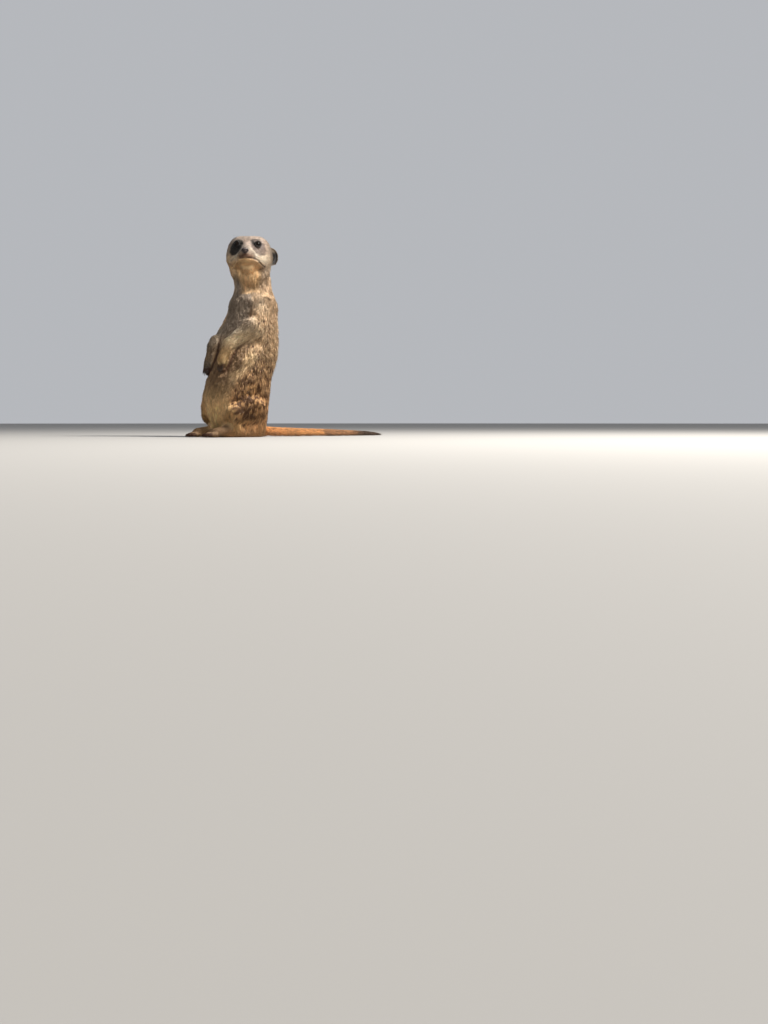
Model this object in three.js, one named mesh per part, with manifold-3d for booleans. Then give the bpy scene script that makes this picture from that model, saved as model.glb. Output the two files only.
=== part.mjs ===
// A meerkat sitting upright on its haunches, life size, in millimetres.
// +Z is up, the animal faces -Y and its left side is +X. The origin lies on the floor,
// in the middle of the flat that it sits on. The outline is that of the coat.
//
// Every part of the body is a distance field: masses, bones and a column of body sections,
// blended where flesh runs on. A net of rays from a line inside the part finds its surface.
import * as THREE from "three";
import { mergeVertices } from "three/addons/utils/BufferGeometryUtils.js";
import Module from "manifold-3d";

const wasm = await Module();
wasm.setup();

// ---------------------------------------------------------------- driving sizes
const GAP = 0.3; // clear space between two neighbouring parts
const LEFT = 1; // sign of X on the animal's left
const RIGHT = -1;

// The column of the body, from the seat to the top of the neck.
const BODY = [
  { at: "below the floor", z: -14, y: 0, wide: 14, deep: 16 },
  { at: "seat", z: 0, y: 0, wide: 30, deep: 33 },
  { at: "rump", z: 12, y: -1, wide: 34.5, deep: 40.6 },
  { at: "hips", z: 36, y: -3.4, wide: 39, deep: 46 },
  { at: "paunch", z: 54, y: -4, wide: 41, deep: 49 },
  { at: "belly", z: 72, y: -2.2, wide: 42.5, deep: 49.6 },
  { at: "flank", z: 94, y: 3.2, wide: 42.2, deep: 47.6 },
  { at: "ribs", z: 118, y: 12, wide: 40.2, deep: 46.4 },
  { at: "breast", z: 140, y: 17, wide: 38, deep: 43.4 },
  { at: "chest", z: 157, y: 20.8, wide: 35.5, deep: 40 },
  { at: "shoulders", z: 176, y: 24.4, wide: 33, deep: 38 },
  { at: "withers", z: 192, y: 25.6, wide: 31.7, deep: 36.4 },
  { at: "neck", z: 206, y: 26, wide: 28, deep: 29 },
  { at: "throat", z: 214, y: 26, wide: 26.3, deep: 26.7 },
  { at: "jowl", z: 227, y: 23.2, wide: 28, deep: 28.4 },
  { at: "nape", z: 238, y: 21.5, wide: 27, deep: 27.5 },
  { at: "back of the head", z: 250, y: 17.5, wide: 21, deep: 21.5 },
  { at: "inside the head", z: 260, y: 14, wide: 14, deep: 14 },
];
const BELLY_CUT = 56; // heights where the column is parted
const CHEST_CUT = 112;
const NECK_CUT = 200;

// The head: where its middle is, and how it is turned from the body's own direction.
const HEAD = { centre: [10, 12.9, 257.3], turn: 46.5, lift: 6 }; // degrees to its left, and up
const EYE = { radius: 5, ahead: 18.8, aside: 13.8, up: 8 };
const EAR = { tall: 12.5, long: 9, thick: 4.6, ahead: -9, up: -2.5 };
// The left ear stands out from the head, the right one lies flat: degrees and place.
const EAR_POSE = { left: { flare: 52, aside: 32.5 }, right: { flare: 10, aside: 29.5 } };
const NOSE = { ahead: 41.6, up: -7.4, wide: 5, tall: 3.9, deep: 4.4 };

// Joints of the limbs on the left side; the hands hang differently on the two sides.
const ARM = {
  shoulder: [25.5, 23, 187],
  elbow: [36, 6, 150],
  radii: { shoulder: 16.5, elbow: 13.4, wrist: 9, knuckles: 7.4 },
};
const HAND = {
  left: { wrist: [21.5, -31, 129.5], knuckles: [18.5, -43.8, 111], curl: 0.3 },
  right: { wrist: [20, -28, 129.5], knuckles: [20, -40.5, 107], curl: 1.6 },
};
const LEG = {
  haunch: { middle: [26.5, -3, 42], radii: [21, 27, 25] },
  knee: [30, -29, 32.5],
  ankle: [23.5, -21, 11.5],
  heel: [23, -10, 10],
  ball: [20.6, -56, 5.6],
  radii: { knee: 14.8, ankle: 9.5, heel: 8.5, ball: 7.2 },
};
const FINGERS = { count: 4, spread: 3.9, long: 9.5, radius: 2.9, claw: 9, claw_radius: 1.4 };
const TOES = { count: 4, spread: 4.6, long: 12, radius: 3.6, claw: 8, claw_radius: 1.5 };

// The tail lies straight back on the floor: distance behind the origin, and radius there.
const TAIL = [
  { y: 26, radius: 11 },
  { y: 48, radius: 8.6 },
  { y: 90, radius: 7.3 },
  { y: 145, radius: 6.3 },
  { y: 200, radius: 5.2 },
  { y: 248, radius: 4 },
  { y: 270, radius: 2.6 },
];
const TAIL_CUTS = [112, 190];
const SINK = 0.6; // how far a round part is pressed flat on the floor

// ---------------------------------------------------------------- fields
const vec = (a) => new THREE.Vector3(...a);
const radians = THREE.MathUtils.degToRad;

// An ellipsoid with its own three radii.
function ball(centre, radii) {
  const c = vec(centre);
  const r = vec(radii);
  return (p) => {
    const q = p.clone().sub(c).divide(r);
    const k = q.length();
    const slope = q.divide(r).length();
    return slope < 1e-9 ? -Math.min(...radii) : (k * (k - 1)) / slope;
  };
}

// A round bone or muscle from a to b, thicker at one end.
function bone(a, b, ra, rb) {
  const start = vec(a);
  const along = vec(b).sub(start);
  const length2 = along.lengthSq();
  return (p) => {
    const q = p.clone().sub(start);
    const t = THREE.MathUtils.clamp(q.dot(along) / length2, 0, 1);
    return q.addScaledVector(along, -t).length() - (ra + (rb - ra) * t);
  };
}

// The smooth union of fields, with a fillet of about this size.
function blend(soft, ...fields) {
  const join = (a, b) => {
    const h = Math.max(soft - Math.abs(a - b), 0) / soft;
    return Math.min(a, b) - (h * h * soft) / 4;
  };
  return (p) => fields.map((f) => f(p)).reduce(join);
}

// A field with a soft hollow taken out of it.
function hollow(soft, field, dent) {
  const cut = blend(soft, (p) => -field(p), dent);
  return (p) => -cut(p);
}

const grown = (field, by) => (p) => field(p) - by;

// A smooth value read off rows of sizes, along one of their keys.
function smoothRows(rows, key, value) {
  return (at) => {
    let i = 0;
    while (i < rows.length - 2 && at > rows[i + 1][key]) i++;
    const [a, b] = [rows[i], rows[i + 1]];
    const before = rows[Math.max(i - 1, 0)];
    const after = rows[Math.min(i + 2, rows.length - 1)];
    const t = THREE.MathUtils.clamp((at - a[key]) / (b[key] - a[key]), 0, 1);
    const span = b[key] - a[key];
    const m0 = ((b[value] - before[value]) / Math.max(b[key] - before[key], 1e-6)) * span;
    const m1 = ((after[value] - a[value]) / Math.max(after[key] - a[key], 1e-6)) * span;
    const [t2, t3] = [t * t, t * t * t];
    return (
      (2 * t3 - 3 * t2 + 1) * a[value] + (t3 - 2 * t2 + t) * m0 +
      (3 * t2 - 2 * t3) * b[value] + (t3 - t2) * m1
    );
  };
}

// The column of the body: an oval section at every height.
const middle = smoothRows(BODY, "z", "y");
const halfWidth = smoothRows(BODY, "z", "wide");
const halfDepth = smoothRows(BODY, "z", "deep");
function column(p) {
  const wide = halfWidth(p.z);
  const deep = halfDepth(p.z);
  const oval = Math.hypot(p.x / wide, (p.y - middle(p.z)) / deep);
  return (oval - 1) * Math.min(wide, deep);
}

// ---------------------------------------------------------------- nets of rays
// Where a ray from inside a field comes out, no further than reach.
function surfaceAlong(field, from, way, reach) {
  let r = 0;
  for (let step = 0; step < 60; step++) {
    const left = -field(from.clone().addScaledVector(way, r));
    if (left < 1e-3) break;
    r += Math.max(left * 0.8, 1e-3);
    if (r > reach) return from.clone().addScaledVector(way, reach);
  }
  return from.clone().addScaledVector(way, Math.max(r, 0.05));
}

// A closed net round a line of points inside the field. Each end is cut "flat" or made "round".
// Its loops stand square to the line, or to one fixed way, and caps is the number that round an end.
function wrap(field, line, sizes) {
  const { rings, spokes, start = "flat", end = "flat", reach = 70, side = [1, 0, 0], caps = 3, way: fixed } = sizes;
  const curve = new THREE.CatmullRomCurve3(line.map(vec), false, "centripetal");
  const aheadAt = (t) => (fixed ? vec(fixed) : curve.getTangentAt(t));
  const loops = [];
  const addLoop = (t, lean) => {
    const from = curve.getPointAt(t);
    const ahead = aheadAt(t);
    const across = vec(side).addScaledVector(ahead, -vec(side).dot(ahead)).normalize();
    const third = ahead.clone().cross(across);
    const loop = [];
    for (let j = 0; j < spokes; j++) {
      const angle = (2 * Math.PI * j) / spokes;
      const way = across.clone().multiplyScalar(Math.cos(angle) * Math.cos(lean));
      way.addScaledVector(third, Math.sin(angle) * Math.cos(lean));
      way.addScaledVector(ahead, Math.sin(lean));
      loop.push(surfaceAlong(field, from, way, reach));
    }
    loops.push(loop);
  };
  const pole = (t, sign, kind) =>
    kind === "flat"
      ? curve.getPointAt(t)
      : surfaceAlong(field, curve.getPointAt(t), aheadAt(t).multiplyScalar(sign), reach);
  const quarter = Math.PI / 2 / (caps + 1);
  if (start === "round") for (let k = caps; k > 0; k--) addLoop(0, -quarter * k);
  for (let i = 0; i < rings; i++) addLoop(i / (rings - 1), 0);
  if (end === "round") for (let k = 1; k <= caps; k++) addLoop(1, quarter * k);

  const places = [pole(0, -1, start), ...loops.flat(), pole(1, 1, end)];
  const last = places.length - 1;
  const corner = (i, j) => 1 + i * spokes + (j % spokes);
  const faces = [];
  for (let j = 0; j < spokes; j++) {
    faces.push(0, corner(0, j + 1), corner(0, j));
    faces.push(last, corner(loops.length - 1, j), corner(loops.length - 1, j + 1));
    for (let i = 0; i + 1 < loops.length; i++) {
      faces.push(corner(i, j), corner(i, j + 1), corner(i + 1, j + 1));
      faces.push(corner(i, j), corner(i + 1, j + 1), corner(i + 1, j));
    }
  }
  const net = new THREE.BufferGeometry().setFromPoints(places);
  net.setIndex(faces);
  return solidOf(net);
}

// ---------------------------------------------------------------- solids
// A closed three.js geometry as a solid that can be joined and cut.
function solidOf(geometry) {
  const bare = geometry.clone();
  bare.deleteAttribute("normal");
  bare.deleteAttribute("uv");
  const merged = mergeVertices(bare, 1e-3);
  return new wasm.Manifold(
    new wasm.Mesh({
      numProp: 3,
      vertProperties: new Float32Array(merged.attributes.position.array),
      triVerts: new Uint32Array(merged.index.array),
    }),
  );
}

function geometryOf(solid) {
  const mesh = solid.getMesh();
  const geometry = new THREE.BufferGeometry();
  geometry.setAttribute("position", new THREE.BufferAttribute(mesh.vertProperties, 3));
  geometry.setIndex(new THREE.BufferAttribute(mesh.triVerts, 1));
  geometry.computeVertexNormals();
  return geometry;
}

// The biggest piece of a cut solid, without any crumbs.
function biggest(solid) {
  return solid.decompose().reduce((a, b) => (a.volume() > b.volume() ? a : b));
}

const UNDERGROUND = solidOf(new THREE.BoxGeometry(800, 800, 100).translate(0, 0, -50));
const onFloor = (solid) => solid.subtract(UNDERGROUND);

// The point between two joints.
const between = (a, b, t) => a.map((v, i) => v + (b[i] - v) * t);
// A joint of the left side, moved to this side.
const onSide = (joint, side) => [joint[0] * side, joint[1], joint[2]];

// ---------------------------------------------------------------- the body's column
const BOTTOM = -8;
const TOP = 257;

// The whole column in one net, or the same net grown by the gap that limbs keep from it.
function columnNet(more) {
  const line = [];
  for (let i = 0; i <= 16; i++) {
    const z = BOTTOM + ((TOP - BOTTOM) * i) / 16;
    line.push([0, middle(z), z]);
  }
  const field = grown(column, more);
  return wrap(field, line, { rings: 28, spokes: 22, caps: 2, start: "round", way: [0, 0, 1] });
}

// The column parted at its three heights.
function makeColumn(parts, headAround) {
  const slab = (z) => solidOf(new THREE.BoxGeometry(300, 300, GAP).translate(0, 0, z));
  const whole = onFloor(columnNet(0).subtract(headAround));
  const pieces = partedBy([BELLY_CUT, CHEST_CUT, NECK_CUT].map(slab), whole, {
    pelvis: [0, 0, BELLY_CUT / 2],
    belly: [0, 0, (BELLY_CUT + CHEST_CUT) / 2],
    chest: [0, 0, (CHEST_CUT + NECK_CUT) / 2],
    neck: [0, 0, (NECK_CUT + TOP) / 2],
  });
  Object.assign(parts, pieces);
}

// ---------------------------------------------------------------- the head
const headPlace = new THREE.Matrix4().compose(
  vec(HEAD.centre),
  new THREE.Quaternion().setFromEuler(
    new THREE.Euler(radians(-HEAD.lift), 0, radians(HEAD.turn), "ZXY"),
  ),
  new THREE.Vector3(1, 1, 1),
);
const headBack = headPlace.clone().invert();

// A point of the head, given ahead of its middle, to its left and up.
const inHead = (ahead, aside, up) =>
  new THREE.Vector3(aside, -ahead, up).applyMatrix4(headPlace).toArray();
const headBall = (at, radii) => {
  const own = ball([at[1], -at[0], at[2]], [radii[1], radii[0], radii[2]]);
  return (p) => own(p.clone().applyMatrix4(headBack));
};
const headBone = (a, b, ra, rb) => bone(inHead(...a), inHead(...b), ra, rb);

// Sizes in the head are [ahead, aside, up] from its middle.
function headField() {
  const skull = headBall([-5, 0, 1], [26.5, 29.5, 23.5]);
  const forehead = headBall([8, 0, 5], [17, 19, 16]);
  const muzzle = headBone([12, 0, -6.5], [34.5, 0, -11], 15, 8.4);
  const bridge = headBone([13, 0, 3.5], [38, 0, -6.6], 9.5, 4.4);
  const jaw = headBone([0, 0, -15], [29, 0, -17.2], 14, 5.2);
  const pair = [LEFT, RIGHT].flatMap((s) => [
    headBall([-1, 18.5 * s, -7], [18.5, 15, 17]), // cheek
    headBall([3, 14.5 * s, 9], [16, 14, 14.2]), // temple and brow
    headBone([13, 12 * s, -12], [30.5, 5.2 * s, -14], 9, 6), // side of the muzzle
  ]);
  const whole = blend(8, skull, forehead, muzzle, jaw, bridge, ...pair);
  const dents = [LEFT, RIGHT].map((s) =>
    headBall([EYE.ahead + 8, (EYE.aside + 4.5) * s, EYE.up - 1], [6, 7, 6]),
  );
  return hollow(6, whole, (p) => Math.min(...dents.map((dent) => dent(p))));
}

function makeHead(parts) {
  const field = headField();
  const line = [inHead(-10, 0, 0), inHead(4, 0, -2), inHead(18, 0, -5.5), inHead(34, 0, -9)];
  const options = { rings: 13, spokes: 24, start: "round", end: "round", side: [0, 0, 1] };
  const full = wrap(field, line, options);
  const around = wrap(grown(field, GAP), line, options);
  let head = full;
  for (const [side, word] of [[LEFT, "left"], [RIGHT, "right"]]) {
    const centre = inHead(EYE.ahead, EYE.aside * side, EYE.up);
    const globe = (radius) => solidOf(new THREE.SphereGeometry(radius, 12, 7).translate(...centre));
    parts["eye_" + word] = globe(EYE.radius);
    head = head.subtract(globe(EYE.radius + GAP));
    parts["ear_" + word] = makeEar(side, EAR_POSE[word]).subtract(around);
  }
  const nosePad = (more) => {
    const { ahead, up, wide, tall, deep } = NOSE;
    const pad = new THREE.SphereGeometry(1, 11, 7).scale(wide + more, deep + more, tall + more);
    return solidOf(pad.translate(0, -ahead, up).applyMatrix4(headPlace));
  };
  parts.nose = biggest(nosePad(0).subtract(around));
  parts.head = biggest(head);
  return around;
}

// A low, cupped half moon, open forwards, flat against the side of the head.
function makeEar(side, { flare, aside }) {
  const { tall, long, thick, ahead, up } = EAR;
  const flap = new THREE.SphereGeometry(1, 12, 9).scale(thick, long, tall);
  const cup = new THREE.SphereGeometry(1, 10, 7).scale(thick, long * 0.8, tall * 0.72);
  cup.translate(thick * 0.62, -long * 0.42, 0);
  const shell = solidOf(flap).subtract(solidOf(cup));
  const turned = new THREE.Matrix4().makeRotationFromEuler(
    new THREE.Euler(radians(6), radians(8 * side), radians(-flare * side), "ZXY"),
  );
  const mirrored = new THREE.Matrix4().makeScale(side, 1, 1);
  const place = new THREE.Matrix4().makeTranslation(aside * side, -ahead, up);
  const matrix = headPlace.clone().multiply(place).multiply(turned).multiply(mirrored);
  return shell.transform(matrix.toArray());
}

// ---------------------------------------------------------------- limbs
// A digit from its knuckle, with the claw that grows from its end.
function makeDigit(root, tip, clawTip, size) {
  const field = bone(root, tip, size.radius * 1.1, size.radius * 0.85);
  const line = [between(root, tip, 0.02), tip];
  const ends = { start: "round", end: "round", side: [0.1, 0, 1] };
  const digit = wrap(field, line, { rings: 2, spokes: 6, caps: 1, ...ends });
  const clawRoot = between(tip, root, 0.1);
  const bend = between(clawRoot, clawTip, 0.55);
  bend[2] += size.claw * 0.09;
  const clawField = blend(
    0.6,
    bone(clawRoot, bend, size.claw_radius, size.claw_radius * 0.75),
    bone(bend, clawTip, size.claw_radius * 0.75, 0.35),
  );
  const bent = [clawRoot, bend, clawTip];
  const claw = wrap(clawField, bent, { rings: 3, spokes: 5, caps: 0, reach: 3, ...ends });
  return { digit, claw };
}

// Parts a solid with thin plates and names its pieces by the places nearest to their middles.
function partedBy(plates, solid, places) {
  const pieces = plates.reduce((left, plate) => left.subtract(plate), solid).decompose();
  const named = {};
  for (const [name, place] of Object.entries(places)) {
    const gap = (piece) => middleOf(piece).distanceTo(vec(place));
    named[name] = pieces.reduce((a, b) => (gap(b) < gap(a) ? b : a));
  }
  return named;
}

function middleOf(solid) {
  const { min, max } = solid.boundingBox();
  return vec([...min]).add(vec([...max])).multiplyScalar(0.5);
}

function makeArm(parts, side, word, around) {
  const [shoulder, elbow] = [onSide(ARM.shoulder, side), onSide(ARM.elbow, side)];
  const { curl } = HAND[word];
  const [wrist, knuckles] = [onSide(HAND[word].wrist, side), onSide(HAND[word].knuckles, side)];
  const r = ARM.radii;
  const field = blend(
    7,
    bone(shoulder, elbow, r.shoulder, r.elbow),
    bone(elbow, wrist, r.elbow, r.wrist),
    bone(wrist, knuckles, r.wrist, r.knuckles),
  );
  const line = [shoulder, elbow, wrist, knuckles];
  const sizes = { rings: 11, spokes: 12, caps: 2, start: "round", end: "round", side: [side, 0, 0] };
  let limb = wrap(field, line, sizes);
  for (let i = 0; i < FINGERS.count; i++) {
    const across = (i - (FINGERS.count - 1) / 2) * FINGERS.spread;
    const share = 1 - Math.abs(i - 1.4) * 0.1;
    const root = [knuckles[0] + across, knuckles[1] + 0.5, knuckles[2] - 3];
    const tip = [root[0], root[1] - 1.2 * curl, root[2] - FINGERS.long * share];
    const clawTip = [tip[0] - side, tip[1] - 1.5 * curl, tip[2] - FINGERS.claw * share];
    const { digit, claw } = makeDigit(root, tip, clawTip, FINGERS);
    limb = limb.add(digit);
    parts["hand_" + word + "_claw_" + (i + 1)] = claw.subtract(around);
  }
  const plates = [
    cutPlate(shoulder, wrist, between(elbow, shoulder, 0.05), 44),
    cutPlate(elbow, knuckles, between(wrist, elbow, 0.05), 30),
  ];
  const pieces = partedBy(plates, limb.subtract(around), {
    upper_arm: between(shoulder, elbow, 0.6),
    forearm: between(elbow, wrist, 0.5),
    hand: knuckles,
  });
  for (const [name, piece] of Object.entries(pieces)) parts[name + "_" + word] = piece;
  trimClaws(parts, "hand_" + word, FINGERS.count);
}

// Claws stop a gap short of the toes and fingers that they grow from.
function trimClaws(parts, paw, count) {
  for (let i = 1; i <= count; i++) {
    const name = paw + "_claw_" + i;
    parts[name] = onFloor(biggest(parts[name].subtract(parts[paw])));
  }
}

// A thin disc square to the way from a to b, as wide as asked, that parts a limb at a joint.
function cutPlate(a, b, at, size) {
  const disc = new THREE.CylinderGeometry(size / 2, size / 2, GAP * 1.2, 24);
  const way = vec(b).sub(vec(a)).normalize();
  disc.applyQuaternion(new THREE.Quaternion().setFromUnitVectors(new THREE.Vector3(0, 1, 0), way));
  return solidOf(disc.translate(...at));
}

function makeLeg(parts, side, word, around) {
  const [knee, ankle, heel, sole] = ["knee", "ankle", "heel", "ball"].map((k) => onSide(LEG[k], side));
  const r = LEG.radii;
  const hip = onSide(LEG.haunch.middle, side);
  const step = { rings: 5, spokes: 10, side: [0, 0, 1], start: "round", end: "round", caps: 2, reach: 20 };
  const thighField = blend(8, ball(hip, LEG.haunch.radii), bone(hip, knee, r.knee, r.knee));
  const thighLine = [between(hip, knee, -0.3), between(hip, knee, 0.8)];
  const thigh = wrap(thighField, thighLine, { ...step, spokes: 16, caps: 3, reach: 40 });
  const shin = between(knee, ankle, 0.25);
  const shank = wrap(bone(shin, ankle, r.knee - 2.5, r.ankle), [shin, ankle], { ...step, side: [1, 0, 0] });
  const footField = blend(6, bone(heel, sole, r.heel, r.ball), bone(ankle, sole, r.ankle, r.ball));
  const foot = (more) => wrap(grown(footField, more), [heel, sole], step);
  let paw = foot(0);
  for (let i = 0; i < TOES.count; i++) {
    const across = (i - (TOES.count - 1) / 2) * TOES.spread;
    const short = Math.abs(i - 1.5) * 1.6;
    const root = [sole[0] + across * 0.8, sole[1] - 2, 4.2];
    const tip = [sole[0] + across, sole[1] - TOES.long + short, TOES.radius - 0.4];
    const clawTip = [tip[0], tip[1] - TOES.claw, 1.1];
    const { digit, claw } = makeDigit(root, tip, clawTip, TOES);
    paw = paw.add(digit);
    parts["foot_" + word + "_claw_" + (i + 1)] = claw;
  }
  parts["foot_" + word] = onFloor(biggest(paw.subtract(around)));
  trimClaws(parts, "foot_" + word, TOES.count);
  const crease = cutPlate(between(hip, knee, 0.55), between(knee, ankle, 0.9), knee, 100);
  const leg = onFloor(thigh.add(shank).subtract(around.add(foot(GAP))));
  const pieces = partedBy([crease], leg, { thigh: hip, shank: between(knee, ankle, 0.5) });
  for (const [name, piece] of Object.entries(pieces)) parts[name + "_" + word] = piece;
}

// ---------------------------------------------------------------- the tail
const tailRadius = smoothRows(TAIL, "y", "radius");
const tailPoint = (y) => [0, y, tailRadius(y) - SINK];
function tailField(p) {
  const y = THREE.MathUtils.clamp(p.y, TAIL[0].y, TAIL.at(-1).y);
  const radius = tailRadius(y);
  return Math.hypot(p.x, p.y - y, p.z - (radius - SINK)) - radius;
}

function makeTail(parts, around) {
  const ends = [TAIL[0].y, ...TAIL_CUTS, TAIL.at(-1).y];
  ["base", "middle", "tip"].forEach((word, i) => {
    const [from, to] = [ends[i] + (i ? GAP / 2 : 0), ends[i + 1] - (i < 2 ? GAP / 2 : 0)];
    const line = [0, 0.25, 0.5, 0.75, 1].map((t) => tailPoint(from + (to - from) * t));
    const kinds = { start: i ? "flat" : "round", end: i < 2 ? "flat" : "round" };
    const length = wrap(tailField, line, { rings: 6, spokes: 11, caps: 2, reach: 20, ...kinds });
    parts["tail_" + word] = onFloor(i ? length : biggest(length.subtract(around)));
  });
}

// ---------------------------------------------------------------- assembly
function makeBody() {
  const parts = {};
  const headAround = makeHead(parts);
  makeColumn(parts, headAround);
  const around = columnNet(GAP);
  for (const [side, word] of [[LEFT, "left"], [RIGHT, "right"]]) {
    makeArm(parts, side, word, around.add(headAround));
    makeLeg(parts, side, word, around);
  }
  makeTail(parts, around);
  return parts;
}

// Coat colours and surfaces, by the first word of a part's name that is listed.
const COLOURS = [
  ["claw", 0x2a211c, 0.45],
  ["eye", 0x140c08, 0.1],
  ["nose", 0x2b1a16, 0.4],
  ["ear", 0x3a2a20, 0.9],
  ["tail_tip", 0x4a3222, 0.95],
  ["tail", 0xa9713f, 0.95],
  ["hand", 0x9c8058, 0.9],
  ["foot", 0x9c8058, 0.9],
  ["head", 0xc8b596, 0.95],
  ["neck", 0xbfa784, 0.95],
  ["", 0xa98d64, 0.95],
];

function materialOf(name) {
  const [word, colour, roughness] = COLOURS.find(([key]) => name.includes(key));
  const material = new THREE.MeshStandardMaterial({ color: colour, roughness, metalness: 0 });
  material.name = word || "body";
  return material;
}

const meerkat = new THREE.Group();
meerkat.name = "meerkat";
for (const [name, solid] of Object.entries(makeBody())) {
  const mesh = new THREE.Mesh(geometryOf(solid), materialOf(name));
  mesh.name = name;
  meerkat.add(mesh);
}

export default meerkat;
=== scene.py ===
# %% [markdown]
# # A meerkat on the look-out
# The solid parts of the animal arrive as a fixed frame, in metres, with +Z up. Their outline is
# that of the coat. Here one skin is drawn over them, the face is shaped in it, and the fur is
# laid on top. The frame is loaded first, because every place below is read from it.

# %% The frame
import math
from collections import namedtuple

import bpy
import numpy as np
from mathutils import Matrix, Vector
from mathutils.kdtree import KDTree


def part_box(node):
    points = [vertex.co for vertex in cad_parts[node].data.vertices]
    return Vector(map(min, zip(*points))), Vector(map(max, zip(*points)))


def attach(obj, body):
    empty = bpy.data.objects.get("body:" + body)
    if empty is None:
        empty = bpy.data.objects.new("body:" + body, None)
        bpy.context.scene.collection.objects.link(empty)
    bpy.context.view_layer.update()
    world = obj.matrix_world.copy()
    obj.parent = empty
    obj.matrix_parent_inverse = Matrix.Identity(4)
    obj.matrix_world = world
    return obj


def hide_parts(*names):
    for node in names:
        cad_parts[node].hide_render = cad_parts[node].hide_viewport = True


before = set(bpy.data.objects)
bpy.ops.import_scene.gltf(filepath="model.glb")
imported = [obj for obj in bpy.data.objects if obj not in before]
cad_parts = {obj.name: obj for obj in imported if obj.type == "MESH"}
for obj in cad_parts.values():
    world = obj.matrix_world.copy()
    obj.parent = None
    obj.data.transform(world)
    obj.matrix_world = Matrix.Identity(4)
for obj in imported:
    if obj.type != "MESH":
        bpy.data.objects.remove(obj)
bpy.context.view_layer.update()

MM = 0.001
LEFT, RIGHT = 1, -1
SIDES = (("left", LEFT), ("right", RIGHT))
bpy.ops.object.select_all(action="DESELECT")
print("parts in the frame:", len(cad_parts))

# %% [markdown]
# A part's box is enough to find a place on it: a share of the way along X, Y and Z. The head is
# turned on the neck, so it has directions of its own. Their turn could be typed in, but the line
# through the two eyes gives it and can't disagree with the parts. Only the lift of the head is.

# %% Places on the body
def place(node, x=0.5, y=0.5, z=0.5):
    """A point in a part's box, in millimetres, by shares of the way along its sides."""
    low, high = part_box(node)
    share = Vector((x, y, z))
    return np.array([lo + (hi - lo) * s for lo, hi, s in zip(low, high, share)]) / MM


HEAD_LIFT = math.radians(6)
EYE_AHEAD, EYE_UP = 18.8, 8.0
EYES = {side: place("eye_" + word) for word, side in SIDES}
EYE_RADIUS = (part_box("eye_left")[1].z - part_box("eye_left")[0].z) / 2 / MM

aside = EYES[LEFT] - EYES[RIGHT]
aside /= np.linalg.norm(aside)
level = np.array([aside[1], -aside[0], 0.0])
ahead = level * math.cos(HEAD_LIFT) + np.array([0, 0, math.sin(HEAD_LIFT)])
up = np.cross(ahead, aside)
HEAD_AXES = np.array([aside, ahead, up])
HEAD_MIDDLE = (EYES[LEFT] + EYES[RIGHT]) / 2 - ahead * EYE_AHEAD - up * EYE_UP


def in_head(points):
    """Points in the head's own directions: aside to its left, ahead and up, in millimetres."""
    return (points - HEAD_MIDDLE) @ HEAD_AXES.T


def from_head(points):
    return np.asarray(points, float) @ HEAD_AXES + HEAD_MIDDLE


def unit(vectors):
    return vectors / np.maximum(np.linalg.norm(vectors, axis=1, keepdims=True), 1e-9)


COLUMN = np.array([place("pelvis"), place("belly"), place("chest"), place("neck")])
print("the head looks along", np.round(ahead, 2), "from", np.round(HEAD_MIDDLE, 1))

# %% [markdown]
# ## Studio
# A wide pale floor, one soft key light high on the animal's left and a little behind it, like the
# sun, and a broad weak fill from the front. The camera stands low, just over the floor, and its
# view takes in the floor in front and to the right. That is how one meets a sentry on its rock.

# %% Camera
CAMERA_ROUND = math.radians(55)
CAMERA_AWAY = 1.450
CAMERA_HEIGHT = 0.020
AIM_RIGHT = math.radians(8.17)
AIM_DOWN = math.radians(5.09)
LENS = 35.16


def aim(thing, direction):
    thing.rotation_mode = "QUATERNION"
    thing.rotation_quaternion = Vector(direction).to_track_quat("-Z", "Y")


def make_camera():
    data = bpy.data.cameras.new("camera")
    data.lens = LENS
    data.clip_start, data.clip_end = 0.01, 100
    camera = bpy.data.objects.new("camera", data)
    bpy.context.scene.collection.objects.link(camera)
    camera.location = (
        CAMERA_AWAY * math.sin(CAMERA_ROUND),
        -CAMERA_AWAY * math.cos(CAMERA_ROUND),
        CAMERA_HEIGHT,
    )
    towards = math.pi / 2 + CAMERA_ROUND - AIM_RIGHT
    flat = math.cos(AIM_DOWN)
    aim(camera, (flat * math.cos(towards), flat * math.sin(towards), -math.sin(AIM_DOWN)))
    bpy.context.scene.camera = camera
    return camera


camera = make_camera()
print("camera at", [round(v, 3) for v in camera.location])

# %% Floor and light
FLOOR_SIZE = 60
FLOOR_COLOUR = (0.36, 0.35, 0.335, 1)
SKY_COLOUR = (0.80, 0.82, 0.86, 1)
SKY_STRENGTH = 0.52


# Metres across, watts and colour, then how far towards the camera, to its right and up.
LIGHTS = {
    "key": (0.4, 58, (1.0, 0.96, 0.90), 0.66, 1.0, 1.35),
    "fill": (1.6, 3, (1.0, 0.97, 0.94), 1.4, -1.1, 0.5),
}
LIGHT_AIM = Vector((0, 0, 0.15))


def new_material(name, roughness, **settings):
    material = bpy.data.materials.new(name)
    material.use_nodes = True
    shader = material.node_tree.nodes["Principled BSDF"]
    for key, value in {"Roughness": roughness, **settings}.items():
        shader.inputs[key].default_value = value
    return material, material.node_tree, shader


def make_floor():
    bpy.ops.mesh.primitive_plane_add(size=FLOOR_SIZE)
    floor = bpy.context.object
    floor.name = "floor"
    material, tree, shader = new_material("floor_paint", 0.9)
    shader.inputs["Base Color"].default_value = FLOOR_COLOUR
    floor.data.materials.append(material)
    floor.select_set(False)


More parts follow.
